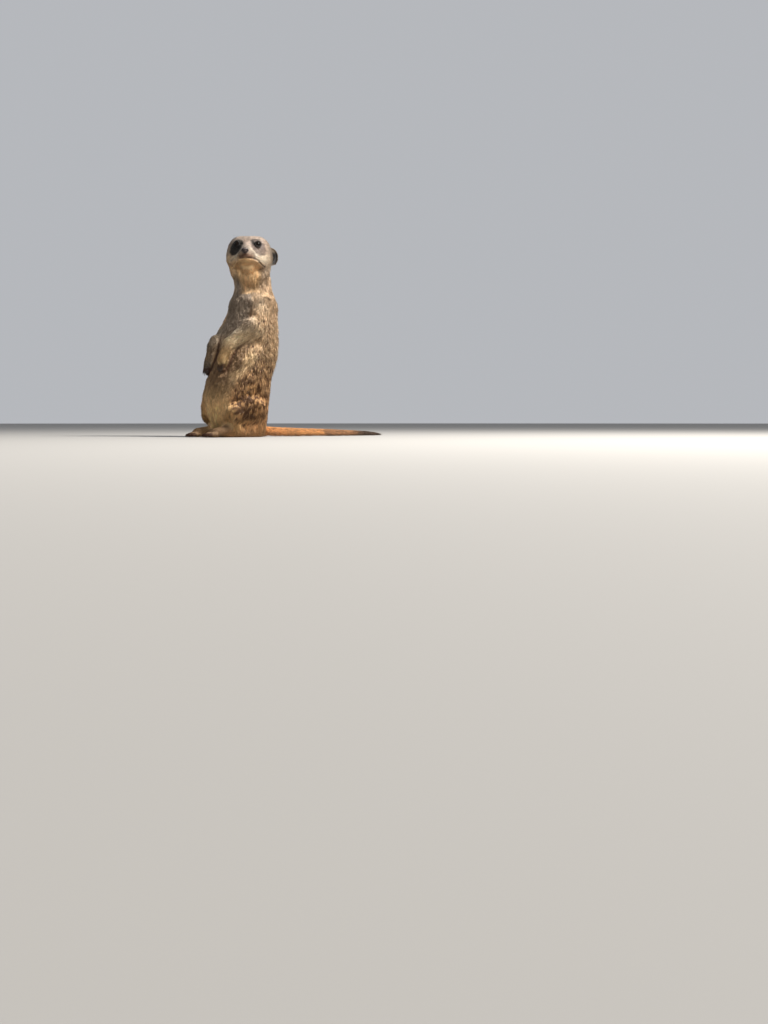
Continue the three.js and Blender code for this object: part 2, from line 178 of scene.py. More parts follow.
def make_light(name, size, power, colour, towards_camera, to_right, high):
    """An area light, placed as the camera sees it."""
    back = Vector((math.sin(CAMERA_ROUND), -math.cos(CAMERA_ROUND), 0))
    right = Vector((math.cos(CAMERA_ROUND), math.sin(CAMERA_ROUND), 0))
    data = bpy.data.lights.new(name, "AREA")
    data.size, data.energy, data.color = size, power, colour
    light = bpy.data.objects.new(name, data)
    bpy.context.scene.collection.objects.link(light)
    light.location = back * towards_camera + right * to_right + Vector((0, 0, high))
    aim(light, LIGHT_AIM - light.location)


def make_sky():
    world = bpy.data.worlds.new("sky")
    world.use_nodes = True
    background = world.node_tree.nodes["Background"]
    background.inputs["Color"].default_value = SKY_COLOUR
    background.inputs["Strength"].default_value = SKY_STRENGTH
    bpy.context.scene.world = world


make_floor()
make_sky()
for name, settings in LIGHTS.items():
    make_light(name, *settings)
bpy.context.scene.view_settings.view_transform = "Standard"
bpy.context.scene.view_settings.look = "Medium High Contrast"
print("lights:", sorted(LIGHTS))

# %% [markdown]
# ## How the coat lies
# Hair grows along the body: back from the nose, down the neck and trunk, and out along each limb.
# A stretch is one such run, with the size that its hair has. Any point on the skin then takes
# its lie, length and thickness from the stretches near it, so nothing jumps where two meet.
# Painting the lie by hand with a comb would be the other way, and would have to be redone after
# every change of shape.

# %% Stretches of the body
Stretch = namedtuple("Stretch", "name start end reach depth long wide lift draw")
CLAWS = sorted(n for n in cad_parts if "_claw_" in n)
KNUCKLE_BACK = {"hand": 9.0, "foot": 10.0}
CLAW_ROOT = {"hand": (0.5, 0.65, 0.68), "foot": (0.5, 0.62, 0.55)}


def joint(word, node, x, y, z):
    """A joint of a limb; x is counted from the body's middle outwards on both sides."""
    return place(f"{node}_{word}", x if word == "left" else 1 - x, y, z)


def digit_line(claw):
    """A digit from its knuckle to the root of its claw."""
    limb, word = claw.split("_")[:2]
    tip = place(claw, *CLAW_ROOT[limb])
    back = place(f"{limb}_{word}", 0.5, 0.6, 0.75) - tip
    return tip + back * KNUCKLE_BACK[limb] / np.linalg.norm(back), tip


def digit_stretches():
    for claw in CLAWS:
        yield Stretch(claw.split("_")[0], *digit_line(claw), 4.2, 0.4, 2.0, 0.32, 8, 0.1)


def head_stretches():
    brow = from_head((0, 14, 4))
    yield Stretch("muzzle", from_head((0, 42, -7)), from_head((0, 14, -5)), 13, 0.5, 2.6, 0.34, 10, 0.1)
    yield Stretch("chin", from_head((0, 36, -16)), from_head((0, 2, -27)), 9, 0.6, 3.4, 0.38, 11, 0.15)
    yield Stretch("crown", brow, from_head((0, -18, 4)), 24, 1.1, 4.6, 0.40, 12, 0.2)
    for side in (LEFT, RIGHT):
        cheek = from_head((13 * side, 16, -8)), from_head((21 * side, -14, -16))
        yield Stretch("cheek", *cheek, 13, 1.2, 4.8, 0.42, 13, 0.25)


def trunk_stretches():
    nape, collar = from_head((0, -8, -10)), place("neck", 0.5, 0.5, 0.06)
    ribs, waist = place("chest", 0.5, 0.46, 0.1), place("belly", 0.5, 0.5, 0.4)
    seat = place("pelvis", 0.5, 0.55, 0)
    yield Stretch("neck", nape, collar, 26, 1.3, 7.5, 0.39, 15, 0.22)
    yield Stretch("shoulders", collar, ribs, 36, 2.4, 11, 0.50, 16, 0.3)
    yield Stretch("ribs", ribs, waist, 41, 4.2, 13.5, 0.54, 18, 0.5)
    yield Stretch("rump", waist, seat, 44, 2.8, 12, 0.52, 17, 0.35)
    root, middle, tip = place("tail_base"), place("tail_middle"), place("tail_tip", 0.5, 1)
    yield Stretch("tail root", place("tail_base", 0.5, 0, 0.6), root, 10, 2, 8, 0.5, 12, 0.4)
    yield Stretch("tail", root, middle, 7.5, 1.4, 7, 0.46, 11, 0.4)
    yield Stretch("tail end", middle, tip, 5, 1, 7.5, 0.42, 10, 0.35)


def limb_stretches():
    for word, side in SIDES:
        shoulder = joint(word, "upper_arm", 0.2, 0.7, 0.85)
        elbow = joint(word, "forearm", 0.62, 0.8, 0.69)
        wrist = joint(word, "hand", 0.52, 0.73, 0.79)
        yield Stretch("upper arm", shoulder, elbow + 0.1 * (shoulder - elbow), 12, 2.0, 8, 0.46, 13, 0.3)
        yield Stretch("forearm", elbow + 0.1 * (wrist - elbow), wrist, 10, 0.9, 4.8, 0.40, 12, 0.2)
        yield Stretch("hand", wrist, joint(word, "hand", 0.4, 0.2, 0), 6.5, 0.4, 2.4, 0.34, 10, 0.15)
        hip, knee = joint(word, "thigh", 0.4, 0.6, 1.0), joint(word, "thigh", 0.5, 0.35, 0.1)
        ankle = joint(word, "foot", 0.55, 0.75, 0.7)
        yield Stretch("thigh", hip, knee, 19, 2.6, 10, 0.50, 14, 0.4)
        yield Stretch("shank", joint(word, "shank", 0.45, 0.2, 0.8), ankle, 10, 1.0, 5, 0.42, 12, 0.2)
        yield Stretch("foot", ankle, joint(word, "foot", 0.45, 0, 0.2), 7, 0.4, 2.6, 0.34, 10, 0.15)
        fold = [place("belly", 0.5 + x * side, y, z) for x, y, z in ((0.43, 0.45, 0.95), (0.3, 0.1, 0.3))]
        yield Stretch("flank fold", *fold, 9, 2.6, 15, 0.50, 15, 0.5)


FALL_OFF = 6
STRETCHES = [*head_stretches(), *trunk_stretches(), *limb_stretches(), *digit_stretches()]


def from_run(points, start, end):
    """The share of the way along a straight run at each point, and the distance from the run."""
    run = np.subtract(end, start)
    along = np.clip((points - start) @ run / (run @ run), 0, 1)
    return along, np.linalg.norm(points - start - along[:, None] * run, axis=1)


def from_spot(points, spot):
    return np.linalg.norm(points - spot, axis=1)


def from_eyes(points):
    """Each point's distance from the middle of the nearer eye."""
    return np.min([from_spot(points, eye) for eye in EYES.values()], axis=0)


def shares_of(points):
    """How much each stretch has to say at each point: the nearest for their reach say most."""
    away = [from_run(points, s.start, s.end)[1] for s in STRETCHES]
    shares = [(s.reach / np.maximum(a, 0.5)) ** FALL_OFF for s, a in zip(STRETCHES, away)]
    shares = np.array(shares).T
    return shares / shares.sum(1, keepdims=True)


def told(shares, key):
    """One size of the coat at each point, such as its depth."""
    return shares @ np.array([getattr(s, key) for s in STRETCHES], float)


print("stretches of coat:", len(STRETCHES))

# %% [markdown]
# ## Skin
# The flesh is one piece on the animal, so the parts are copied, swollen a little until they meet,
# and run together by a voxel remesh. Stitching their edges by hand would leave a seam at each
# joint. The remesh also gives even faces, which take shaping well. Then the skin is drawn in by
# the depth of the coat.

# %% One skin from many parts
SWELL = 0.4
VOXEL = 1.55
WELD = 0.001


def link(piece):
    bpy.context.scene.collection.objects.link(piece)
    return piece


def only(piece):
    bpy.ops.object.select_all(action="DESELECT")
    piece.select_set(True)
    bpy.context.view_layer.objects.active = piece


def edit(piece, *steps):
    """Runs steps in edit mode with all of a piece selected."""
    only(piece)
    bpy.ops.object.mode_set(mode="EDIT")
    bpy.ops.mesh.select_all(action="SELECT")
    for step, settings in steps:
        step(**settings)
    bpy.ops.object.mode_set(mode="OBJECT")


def join(piece, others):
    """Makes others a part of a piece."""
    only(piece)
    for other in others:
        other.select_set(True)
    bpy.ops.object.join()


def copy_of(nodes, name):
    """One new piece from copies of parts, with their doubled corners welded."""
    twins = [link(bpy.data.objects.new(name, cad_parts[n].data.copy())) for n in nodes]
    join(twins[0], twins)
    piece = bpy.context.object
    piece.name = name
    piece.data.materials.clear()
    edit(piece, (bpy.ops.mesh.remove_doubles, {"threshold": WELD * MM}))
    return piece


def fetch(rows, key, width, kind=float):
    """What a mesh keeps in its rows, as an array of this width."""
    values = np.empty(len(rows) * width, kind)
    rows.foreach_get(key, values)
    return values.reshape(-1, width)


def keep(piece, name, values):
    """Gives each point of a mesh a number, a vector or a colour, by how many values it has."""
    values = np.asarray(values, np.float32)
    width = values.shape[1] if values.ndim > 1 else 1
    kind, key = {1: ("FLOAT", "value"), 3: ("FLOAT_VECTOR", "vector"), 4: ("FLOAT_COLOR", "color")}[width]
    piece.data.attributes.new(name, kind, "POINT").data.foreach_set(key, values.ravel())


def points_of(piece):
    return fetch(piece.data.vertices, "co", 3) / MM


def set_points(piece, points):
    piece.data.vertices.foreach_set("co", (points * MM).astype(np.float32).ravel())
    piece.data.update()


def apply(piece, kind, **settings):
    """Adds a modifier with these settings and applies it."""
    only(piece)
    modifier = piece.modifiers.new(kind.lower(), kind)
    for key, value in settings.items():
        setattr(modifier, key, value)
    bpy.ops.object.modifier_apply(modifier=modifier.name)


def is_flesh(node):
    return not node.startswith(("eye_", "nose")) and "_claw_" not in node


FLESH = sorted(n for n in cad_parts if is_flesh(n))
FILLED = [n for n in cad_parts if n.startswith("eye_")]
USED = [n for n in FLESH if not n.startswith("ear_")] + FILLED
skin = copy_of(USED, "skin")
edit(skin, (bpy.ops.transform.shrink_fatten, {"value": SWELL * MM}))
print("parts in the skin:", len(USED))

# %% [markdown]
# The paws of the solids are mittens with claws. A meerkat digs with its fingers, and each one is a
# sausage that ends round the root of its claw. So a sausage is laid from the knuckle to each claw,
# before the remesh runs them into the paw. The forearms, hands, jowls, throat and one knee are
# filled out in the same way.

# %% Fingers, toes and forearms
FINGER = {"hand": 2.9, "foot": 3.4}
FOREARM = {
    "left": (place("forearm_left", 0.58, 0.56, 0.82), place("forearm_left", 0.27, 0.15, 0.27), 11.5, 10.0),
    "right": (place("forearm_right", 0.64, 0.24, 0.40), place("forearm_right", 0.70, 0.1, 0.2), 10.3, 9.4),
}
HANDS = [
    (FOREARM["left"][1], place("hand_left", 0.42, 0.34, 0.24), 10.2, 8.8),
    (FOREARM["right"][1], place("hand_right", 0.50, 0.36, 0.30), 9.4, 8.0),
]
RUFFS = [(from_head((22.3 * s, -6, -17)), from_head((20.4 * s, -8, -28)), 8.8, 8.4) for s in (LEFT, RIGHT)]
THROAT_FILL = (from_head((0, 17, -22)), from_head((0, 9, -36)), 11.0, 13.0)
KNEE_FILL = (place("thigh_right", 0.66, 0.08, 0.57), place("thigh_right", 0.91, 0.05, 1.08), 8.0, 6.5)


def sausage(start, end, wide_start, wide_end):
    """A closed roll between two places, with a radius for each end."""
    bpy.ops.mesh.primitive_uv_sphere_add(segments=24, ring_count=16, radius=MM)
    piece = bpy.context.object
    ball = points_of(piece)
    far_half = ball[:, 2:] > 0
    turn = np.array(Vector(end - start).to_track_quat("Z", "Y").to_matrix())
    fat = ball * np.where(far_half, wide_end, wide_start)
    set_points(piece, fat @ turn.T + np.where(far_half, end, start))
    return piece


rolls = [sausage(*digit_line(claw), *[FINGER[claw.split("_")[0]]] * 2) for claw in CLAWS]
rolls += [sausage(*fill) for fill in (*FOREARM.values(), *HANDS, *RUFFS, THROAT_FILL, KNEE_FILL)]
join(skin, rolls)
apply(skin, "REMESH", mode="VOXEL", voxel_size=VOXEL * MM, use_smooth_shade=True)
print("skin after the remesh:", len(skin.data.polygons), "faces")

# %% [markdown]
# The solids are faceted, and the facets would show through the coat. Drawing each point to its
# neighbours, again and again, takes them off, but it would melt the snout and fingers too. So it
# is done in full on the broad trunk only, and hardly at all where the body is slender.

# %% Smoothing and drawing in
DRAW = 0.5
SLENDER, BROAD = 12, 32
LEAST_SMOOTH = 0.1


def normals_of(piece):
    return fetch(piece.data.vertex_normals, "vector", 3)


def edges_of(piece):
    return fetch(piece.data.edges, "vertices", 2, np.int32)


def neighbours_mean(values, edges):
    """The mean of what a point's neighbours hold."""
    ends, others = np.concatenate([edges, edges[:, ::-1]]).T
    count = np.bincount(ends, minlength=len(values))
    sums = [np.bincount(ends, values[others, k], len(values)) for k in range(values.shape[1])]
    return np.array(sums).T / np.maximum(count, 1)[:, None]


def smooth(piece, rounds, strength=1.0):
    """Takes the small bumps off, as far as strength says, for all or point by point."""
    edges, points = edges_of(piece), points_of(piece)
    step = DRAW * np.broadcast_to(np.asarray(strength, float), len(points))[:, None]
    for _ in range(rounds):
        points = points + step * (neighbours_mean(points, edges) - points)
    set_points(piece, points)


def ramp(values, low, high):
    """0 at low and 1 at high, smooth between; it falls where low is the larger."""
    t = np.clip((values - low) / (high - low), 0, 1)
    return t * t * (3 - 2 * t)


broad = ramp(told(shares_of(points_of(skin)), "reach"), SLENDER, BROAD)
smooth(skin, 30, LEAST_SMOOTH + (1 - LEAST_SMOOTH) * broad)
depth = told(shares_of(points_of(skin)), "depth")
set_points(skin, points_of(skin) - normals_of(skin) * (depth + SWELL)[:, None])
smooth(skin, 3, 0.5)
print("coat depth from", round(depth.min(), 2), "to", round(depth.max(), 2), "mm")

# %% [markdown]
# ## The face
# The face needs finer faces than the back: lids and lips are half a millimetre deep. Splitting
# the whole skin would make it four times as heavy, so only the head and paws are split, and the
# front of the face once more.

# %% Finer faces where the shape is fine
def refine(piece, wanted):
    """Splits into four each face whose middle is wanted."""
    only(piece)
    mesh = piece.data
    for rows in (mesh.vertices, mesh.edges):
        rows.foreach_set("select", np.zeros(len(rows), bool))
    mesh.polygons.foreach_set("select", wanted(fetch(mesh.polygons, "center", 3) / MM))
    bpy.context.tool_settings.mesh_select_mode = (False, False, True)
    bpy.ops.object.mode_set(mode="EDIT")
    bpy.ops.mesh.subdivide(number_cuts=1)
    bpy.ops.object.mode_set(mode="OBJECT")


def on_head(points):
    return np.linalg.norm(in_head(points) * (1, 0.85, 1), axis=1) < 31


def on_face(points):
    _, front, high = in_head(points).T
    lips = (front > 6) & (high < -11) & (high > -22)
    return (from_eyes(points) < 9) | lips | (front > 33)


def on_paws(points):
    return told(shares_of(points), "depth") < 0.55


refine(skin, lambda points: on_head(points) | on_paws(points))
refine(skin, lambda points: on_head(points) & on_face(points))
smooth(skin, 2, 0.6)
print("skin with finer faces:", len(skin.data.polygons))

# %% [markdown]
# Lids lie on the eyeball like thin leather. Each point near the eye is told how far it is from
# the edge of the almond-shaped slit. Outside the edge it is laid just over the ball, with a small
# fold above, and inside it is tucked into the ball, where it is hidden. That gives a clean dark
# edge, which a hole cut in the skin would only give after much patching.

# %% Lids
GAZE = np.array([0.52, 0.85, 0.08])
SLIT_HALF, SLIT_TOP, SLIT_BOTTOM = 5.0, 3.6, 3.5
SLIT_TILT = math.radians(9)
LID_THICK, LID_CLEAR = 0.6, 0.35
LID_REACH = (1.4, 6.0)
FOLD_AT, FOLD_DEEP = 2.4, 0.5


def eye_axes(side):
    """Along the slit towards the outer corner, up across it, and out along the gaze."""
    gaze = from_head(GAZE * (side, 1, 1)) - HEAD_MIDDLE
    gaze /= np.linalg.norm(gaze)
    along = np.cross(gaze, up) * -side
    along /= np.linalg.norm(along)
    across = np.cross(gaze, along) * -side
    across *= np.sign(across @ up)
    c, s = math.cos(SLIT_TILT), math.sin(SLIT_TILT)
    return np.array([along * c + across * s, across * c - along * s, gaze])


def past_slit(points, side):
    """Millimetres from the edge of the slit between the lids, less than 0 inside it."""
    along, across, out = eye_axes(side) @ (points - EYES[side]).T
    x = EYE_RADIUS * np.arctan2(along, out)
    y = EYE_RADIUS * np.arctan2(across, out)
    half_high = np.where(y > 0, SLIT_TOP, SLIT_BOTTOM)
    return (np.hypot(x / SLIT_HALF, y / half_high) - 1) * (SLIT_HALF + SLIT_TOP) / 2, y


def shape_lids(points, side):
    away = points - EYES[side]
    far = np.linalg.norm(away, axis=1)
    past, high = past_slit(points, side)
    lid = EYE_RADIUS + LID_CLEAR + LID_THICK * ramp(past, -0.3, 0.8)
    lid -= FOLD_DEEP * np.exp(-(((past - FOLD_AT) / 0.55) ** 2)) * ramp(high, -1, 1)
    lid = np.where(past < -0.2, EYE_RADIUS - 1.3, lid)
    free = ramp(past, *LID_REACH)
    wanted = lid * (1 - free) + far * free
    in_front = (away @ eye_axes(side)[2] > -2.5) & (far < 14)
    wanted = np.where(in_front, wanted, np.maximum(far, EYE_RADIUS + LID_CLEAR))
    return EYES[side] + away * (wanted / far)[:, None]


points = points_of(skin)
for side in EYES:
    points = shape_lids(points, side)
set_points(skin, points)
past = np.minimum(past_slit(points, LEFT)[0], past_slit(points, RIGHT)[0])
smooth(skin, 2, (past > -0.1) & (past < 4))
smooth(skin, 6, ramp(past, 3, 6) * (past < 14) * 0.8)
print("lids stand", LID_CLEAR + LID_THICK, "mm over eyes of", round(EYE_RADIUS * 2, 1), "mm")

# %% [markdown]
# The mouth is a long line that turns down behind the lips and ends in a small fold. A groove along
# a line is a valley whose depth fades with distance from it, so the same few lines of code cut the
# mouth, the cleft under the nose and the gaps between the fingers. Lips swell on both sides of it.

# %% Mouth, lips and paws
MOUTH = [(0, 43, -16.6), (6, 39, -16), (9.5, 35.5, -15.3), (12, 29, -15), (15.5, 22.5, -15.4)]
MOUTH += [(18, 16, -17.6), (20.5, 11, -19), (22.5, 7, -19.4)]
JAW_FOLD = [(22.5, 7, -19.4), (19, 5, -22), (14, 5.5, -24.2), (9, 7.5, -25.4)]
CLEFT = [(0, 43.5, -10), (0, 43, -16.6)]
WHISKER_PAD, PAD_REACH, PAD_HIGH = (8.5, 34.5, -10.5), 5.5, 0.9
CHIN_BALL, CHIN_REACH, CHIN_HIGH = (0, 35, -20), 6, 0.6
FINGER_GAP = 1.5


def from_line(points, line):
    """Each point's distance from a line of straight runs."""
    return np.min([from_run(points, *ends)[1] for ends in zip(line[:-1], line[1:])], axis=0)


def hill(distance, reach):
    """1 at no distance, fading to nothing beyond the reach."""
    return np.exp(-((distance / reach) ** 2))


def mirrored(local):
    """Places in the head, with the right half laid over the left."""
    return np.column_stack([np.abs(local[:, 0]), local[:, 1:]])


def shape_face(piece):
    points, out = points_of(piece), normals_of(piece)
    local = mirrored(in_head(points))
    from_mouth = from_line(local, MOUTH)
    near_side = 0.5 + 0.5 * ramp(in_head(points)[:, 0], -12, -6)
    raised = 0.55 * hill(from_mouth - 2.0, 1.2) - 1.25 * near_side * hill(from_mouth, 0.7)
    raised -= 1.1 * (near_side - 0.4) * hill(from_line(local, JAW_FOLD), 1.1)
    raised -= 0.7 * hill(from_line(local, CLEFT), 0.6)
    raised += PAD_HIGH * hill(from_spot(local, WHISKER_PAD), PAD_REACH)
    raised += CHIN_HIGH * hill(from_spot(local, CHIN_BALL), CHIN_REACH)
    near = np.linalg.norm(local, axis=1) < 60
    set_points(piece, points + out * (raised * near)[:, None])


def shape_paw(points, out, paw):
    """Draws the skin in between two digits, where it is as far from one as from the other."""
    lines = [digit_line(claw) for claw in CLAWS if claw.startswith(paw)]
    away = np.sort([from_line(points, line) for line in lines], axis=0)
    between = hill(away[1] - away[0], 1.3)
    knuckles, tips = np.mean(lines, axis=0)
    run = tips - knuckles
    towards_tips = (points - knuckles) @ run / (run @ run)
    depth = FINGER_GAP * between * ramp(towards_tips, -0.1, 0.6) * ramp(away[0], 7, 5)
    return points - out * depth[:, None]


shape_face(skin)
points, out = points_of(skin), normals_of(skin)
for word, _ in SIDES:
    points = shape_paw(points, out, "hand_" + word)
    points = shape_paw(points, out, "foot_" + word)
set_points(skin, points)
print("mouth corner", MOUTH[-1][0], "mm from the middle")

# %% [markdown]
# Each arm hangs free of the chest, but the remesh has run a web of skin between them. How far a
# point is outside the arm is its distance from the arm's axis, less the arm's radius there. The
# trunk just beyond is drawn in, and the arm is left as it is. Then the ledges that the parts leave
# below the neck and at one knee are smoothed off, and so is the web.

# %% Arms free of the chest
ARM = {
    "left": (
        *FOREARM["left"][:2],
        place("hand_left", 0.45, 0.58, 0.56),
        place("hand_left", 0.39, 0.26, 0.09),
    ),
    "right": (
        place("forearm_right", 0.43, 0.6, 0.62),
        place("forearm_right", 0.72, 0.1, 0.2),
        place("hand_right", 0.53, 0.57, 0.57),
        place("hand_right", 0.51, 0.23, 0.15),
    ),
}
ARM_RADII = (11.5, 10.0, 9.0, 8.2)
ARM_FREE, ARM_FREE_REACH = 4.0, 8.0
ARM_FREE_FROM = {"left": 0.10, "right": 0.25}


def beyond_arm(points, word):
    """Millimetres outside an arm, less than 0 inside it, and the share of the way along it."""
    line, nearest, along_all = ARM[word], np.full(len(points), np.inf), np.zeros(len(points))
    for number, ends in enumerate(zip(line[:-1], line[1:])):
        along, away = from_run(points, *ends)
        away = away - (ARM_RADII[number] + (ARM_RADII[number + 1] - ARM_RADII[number]) * along)
        along_all = np.where(away < nearest, (number + along) / (len(line) - 1), along_all)
        nearest = np.minimum(nearest, away)
    return nearest, along_all


def round_trunk(points):
    """Degrees round the trunk from the middle of the belly, 180 on the back."""
    middle = np.interp(points[:, 2], COLUMN[:, 2], COLUMN[:, 1])
    return np.degrees(np.arctan2(np.abs(points[:, 0]), middle - points[:, 1]))


def from_digits(points):
    """How far each point is from the middle of the nearest finger or toe."""
    return np.min([from_line(points, digit_line(claw)) for claw in CLAWS], axis=0)


def free_arm(points, word):
    beyond, along = beyond_arm(points, word)
    middle = np.interp(points[:, 2], COLUMN[:, 2], COLUMN[:, 1])
    inwards = unit(np.column_stack([-points[:, 0], middle - points[:, 1], np.zeros(len(points))]))
    first = ARM_FREE_FROM[word]
    drawn = ARM_FREE * ramp(beyond, 0.1, 1.8) * ramp(beyond, ARM_FREE_REACH, 2.2)
    drawn = drawn * ramp(along, first, first + 0.25) * ramp(from_digits(points), 3.0, 4.5)
    return points + inwards * drawn[:, None]


points = points_of(skin)
for word, _ in SIDES:
    points = free_arm(points, word)
set_points(skin, points)
ledge = ramp(points[:, 2], 194, 202) * ramp(points[:, 2], 232, 222)
smooth(skin, 60, ledge * ramp(round_trunk(points), 130, 100))
smooth(skin, 20, ramp(from_spot(points, KNEE_FILL[1]), 15, 9))
arm_near = np.min([np.abs(beyond_arm(points, word)[0] - 2) for word, _ in SIDES], axis=0)
smooth(skin, 4, arm_near < 6)
print("the trunk is drawn in by up to", ARM_FREE, "mm beside the arms")

# %% [markdown]
# ## Eyes
# An eyeball shows a bulge where the clear front covers the iris, and that bulge catches the
# light. The ball starts as a sphere with its pole turned along the gaze, and the rings round the
# pole are raised. Each point keeps how far it is from the gaze, for the iris to be drawn by.

# %% Eyeballs
BULGE, BULGE_REACH = 0.45, 3.4
IRIS, PUPIL_WIDE, PUPIL_HIGH = 4.3, 2.1, 1.5


def flip(piece):
    """Turns the faces of a mesh that was mirrored the right way out again."""
    edit(piece, (bpy.ops.mesh.flip_normals, {}))


def make_eye(word, side):
    bpy.ops.mesh.primitive_uv_sphere_add(segments=48, ring_count=32, radius=EYE_RADIUS * MM)
    eye = bpy.context.object
    eye.name = "eyeball_" + word
    axes = eye_axes(side)
    flat = points_of(eye)
    reach = EYE_RADIUS * np.arctan2(np.hypot(flat[:, 0], flat[:, 1]), flat[:, 2])
    raised = flat * (1 + BULGE / EYE_RADIUS * hill(reach, BULGE_REACH))[:, None]
    length = np.maximum(np.linalg.norm(flat, axis=1), 1e-6)[:, None]
    keep(eye, "iris", flat / length * EYE_RADIUS)
    set_points(eye, raised @ axes + EYES[side])
    only(eye)
    bpy.ops.object.shade_smooth()
    if np.linalg.det(axes) < 0:
        flip(eye)
    return eye


eyes = {word: make_eye(word, side) for word, side in SIDES}
print("eyeballs:", sorted(eyes))

# %% [markdown]
# ## Nose
# The nose pad is bare, damp and pebbled, a blunt wedge with two comma-shaped nostrils and a cleft
# below. It is a ball that is narrowed downwards, then pressed in along short lines, as the
# mouth was.

# %% Nose pad
NOSE_HALF = (5.1, 4.6, 4.1)
NOSTRIL = [(0.36, 0.88, -0.10), (0.52, 0.78, 0.02), (0.74, 0.62, 0.0), (0.92, 0.36, -0.16)]
NOSE_CLEFT = [(0, 0.95, -0.05), (0, 0.85, -0.45), (0, 0.6, -0.8)]


def make_nose():
    bpy.ops.mesh.primitive_ico_sphere_add(subdivisions=6, radius=MM)
    nose = bpy.context.object
    nose.name = "nose_pad"
    ball = points_of(nose)
    half = mirrored(ball)
    pressed = 0.30 * hill(from_line(half, NOSTRIL[:2]), 0.17)
    pressed += 0.20 * hill(from_line(half, NOSTRIL[1:]), 0.10)
    pressed += 0.12 * hill(from_line(half, NOSE_CLEFT), 0.07)
    narrow = 1 - 0.30 * ramp(-ball[:, 2], -0.2, 1.0)
    shaped = ball * (1 - pressed)[:, None] * np.column_stack([narrow, narrow, np.ones(len(ball))])
    set_points(nose, from_head(shaped * NOSE_HALF + in_head(place("nose"))))
    if np.linalg.det(HEAD_AXES) < 0:
        flip(nose)
    only(nose)
    bpy.ops.object.shade_smooth()
    return nose


nose = make_nose()
print("nose pad:", [round(v * 2, 1) for v in NOSE_HALF], "mm")

# %% [markdown]
# ## Ears
# The ear is a low half moon set far back, a thin cupped flap of skin that can be shut against
# sand. It starts as a flat grid. One way along the grid goes round the half moon and the other goes
# from its root to its rim, so each point has a place on the cup. Then it gets its wall and joins
# the skin, so that both are one piece.

# %% Ear flaps
EAR_FLARE = {"left": math.radians(52), "right": math.radians(12)}
EAR_ROOT = {"left": (28.5, -5.0, -2.5), "right": (26.8, -5.0, -2.5)}
EAR_TALL, EAR_LONG, EAR_CUP, EAR_WALL = 12.6, 12.5, 3.4, 1.3
EAR_ARC = math.radians(112)
EAR_LEAN = math.radians(-6)
EAR_START = 0.04


def ear_surface(across, out_from_root):
    """A place on the cup: rearwards, up and outwards from the middle of the root."""
    turn = across * EAR_ARC
    rear = EAR_LONG * (out_from_root * np.cos(turn) * 0.82 + 0.18 * out_from_root)
    high = EAR_TALL * out_from_root**0.85 * np.sin(turn)
    cup = EAR_CUP * (out_from_root**2 - 0.45) * (0.35 + 0.65 * np.cos(turn) ** 2)
    curl = 0.9 * ramp(out_from_root, 0.8, 1.0)
    fold = 1.5 * hill(out_from_root - 0.42, 0.13) * hill(across - 0.15, 0.5)
    notch = 1.2 * hill(out_from_root - 0.25, 0.12) * hill(across + 0.45, 0.22)
    return rear - curl, high, cup + curl + fold + notch


def make_ear(word, side):
    bpy.ops.mesh.primitive_grid_add(x_subdivisions=30, y_subdivisions=14, size=2)
    ear = bpy.context.object
    ear.name = "ear_" + word
    flat = points_of(ear) * MM
    from_root = EAR_START + (1 - EAR_START) * (flat[:, 1] + 1) / 2
    keep(ear, "on_ear", from_root)
    rear, high, outwards = ear_surface(flat[:, 0], from_root)
    c, s = math.cos(EAR_FLARE[word]), math.sin(EAR_FLARE[word])
    aside_part = outwards * c + rear * s
    ahead_part = outwards * s - rear * c
    lean = high * math.sin(EAR_LEAN)
    local = np.column_stack([side * aside_part, ahead_part + lean, high])
    set_points(ear, from_head(local + np.multiply(EAR_ROOT[word], (side, 1, 1))))
    apply(ear, "SOLIDIFY", thickness=EAR_WALL * MM, offset=0)
    apply(ear, "SUBSURF", levels=1, render_levels=1)
    edit(ear, (bpy.ops.mesh.normals_make_consistent, {"inside": False}))
    bpy.ops.object.shade_smooth()
    return ear


join(skin, [make_ear(word, side) for word, side in SIDES])
print("skin with its ears:", len(skin.data.polygons), "faces")

# %% [markdown]
# ## Claws
# The claws of the solids have the right size and bend, only few faces. A copy of each is welded
# and subdivided, which rounds it without moving it.

# %% Horn of the claws
def make_claw(node):
    claw = copy_of([node], node + "_horn")
    apply(claw, "SUBSURF", levels=2, render_levels=2)
    bpy.ops.object.shade_smooth()
    return claw


claws = {node: make_claw(node) for node in CLAWS}
print("claws:", len(claws))

# %% [markdown]
# ## Markings
# The same functions colour the skin and the coat, so a parting hardly shows. Each stretch of the
# body has its own shade, and shares mix them as they mix the lie. On top come the marks that a
# meerkat is known by: the dark eye patches, the black ears, broken bars across the lower back and
# a dark end to the tail. Light is painted in too: a paler lower belly and part of the throat's tan
# for light bounced from below, highlights on the near shoulder, the near forearm and the near eye
# patch, and shadows under the head and round the arms. An image painted over the body would look
# the same, but these marks can be moved by a word.

# %% Shades
def shade(red, green, blue):
    """A colour as a painter mixes it, from 0 to 255, turned into light."""
    part = np.array([red, green, blue]) / 255
    return np.where(part <= 0.04045, part / 12.92, ((part + 0.055) / 1.055) ** 2.4)


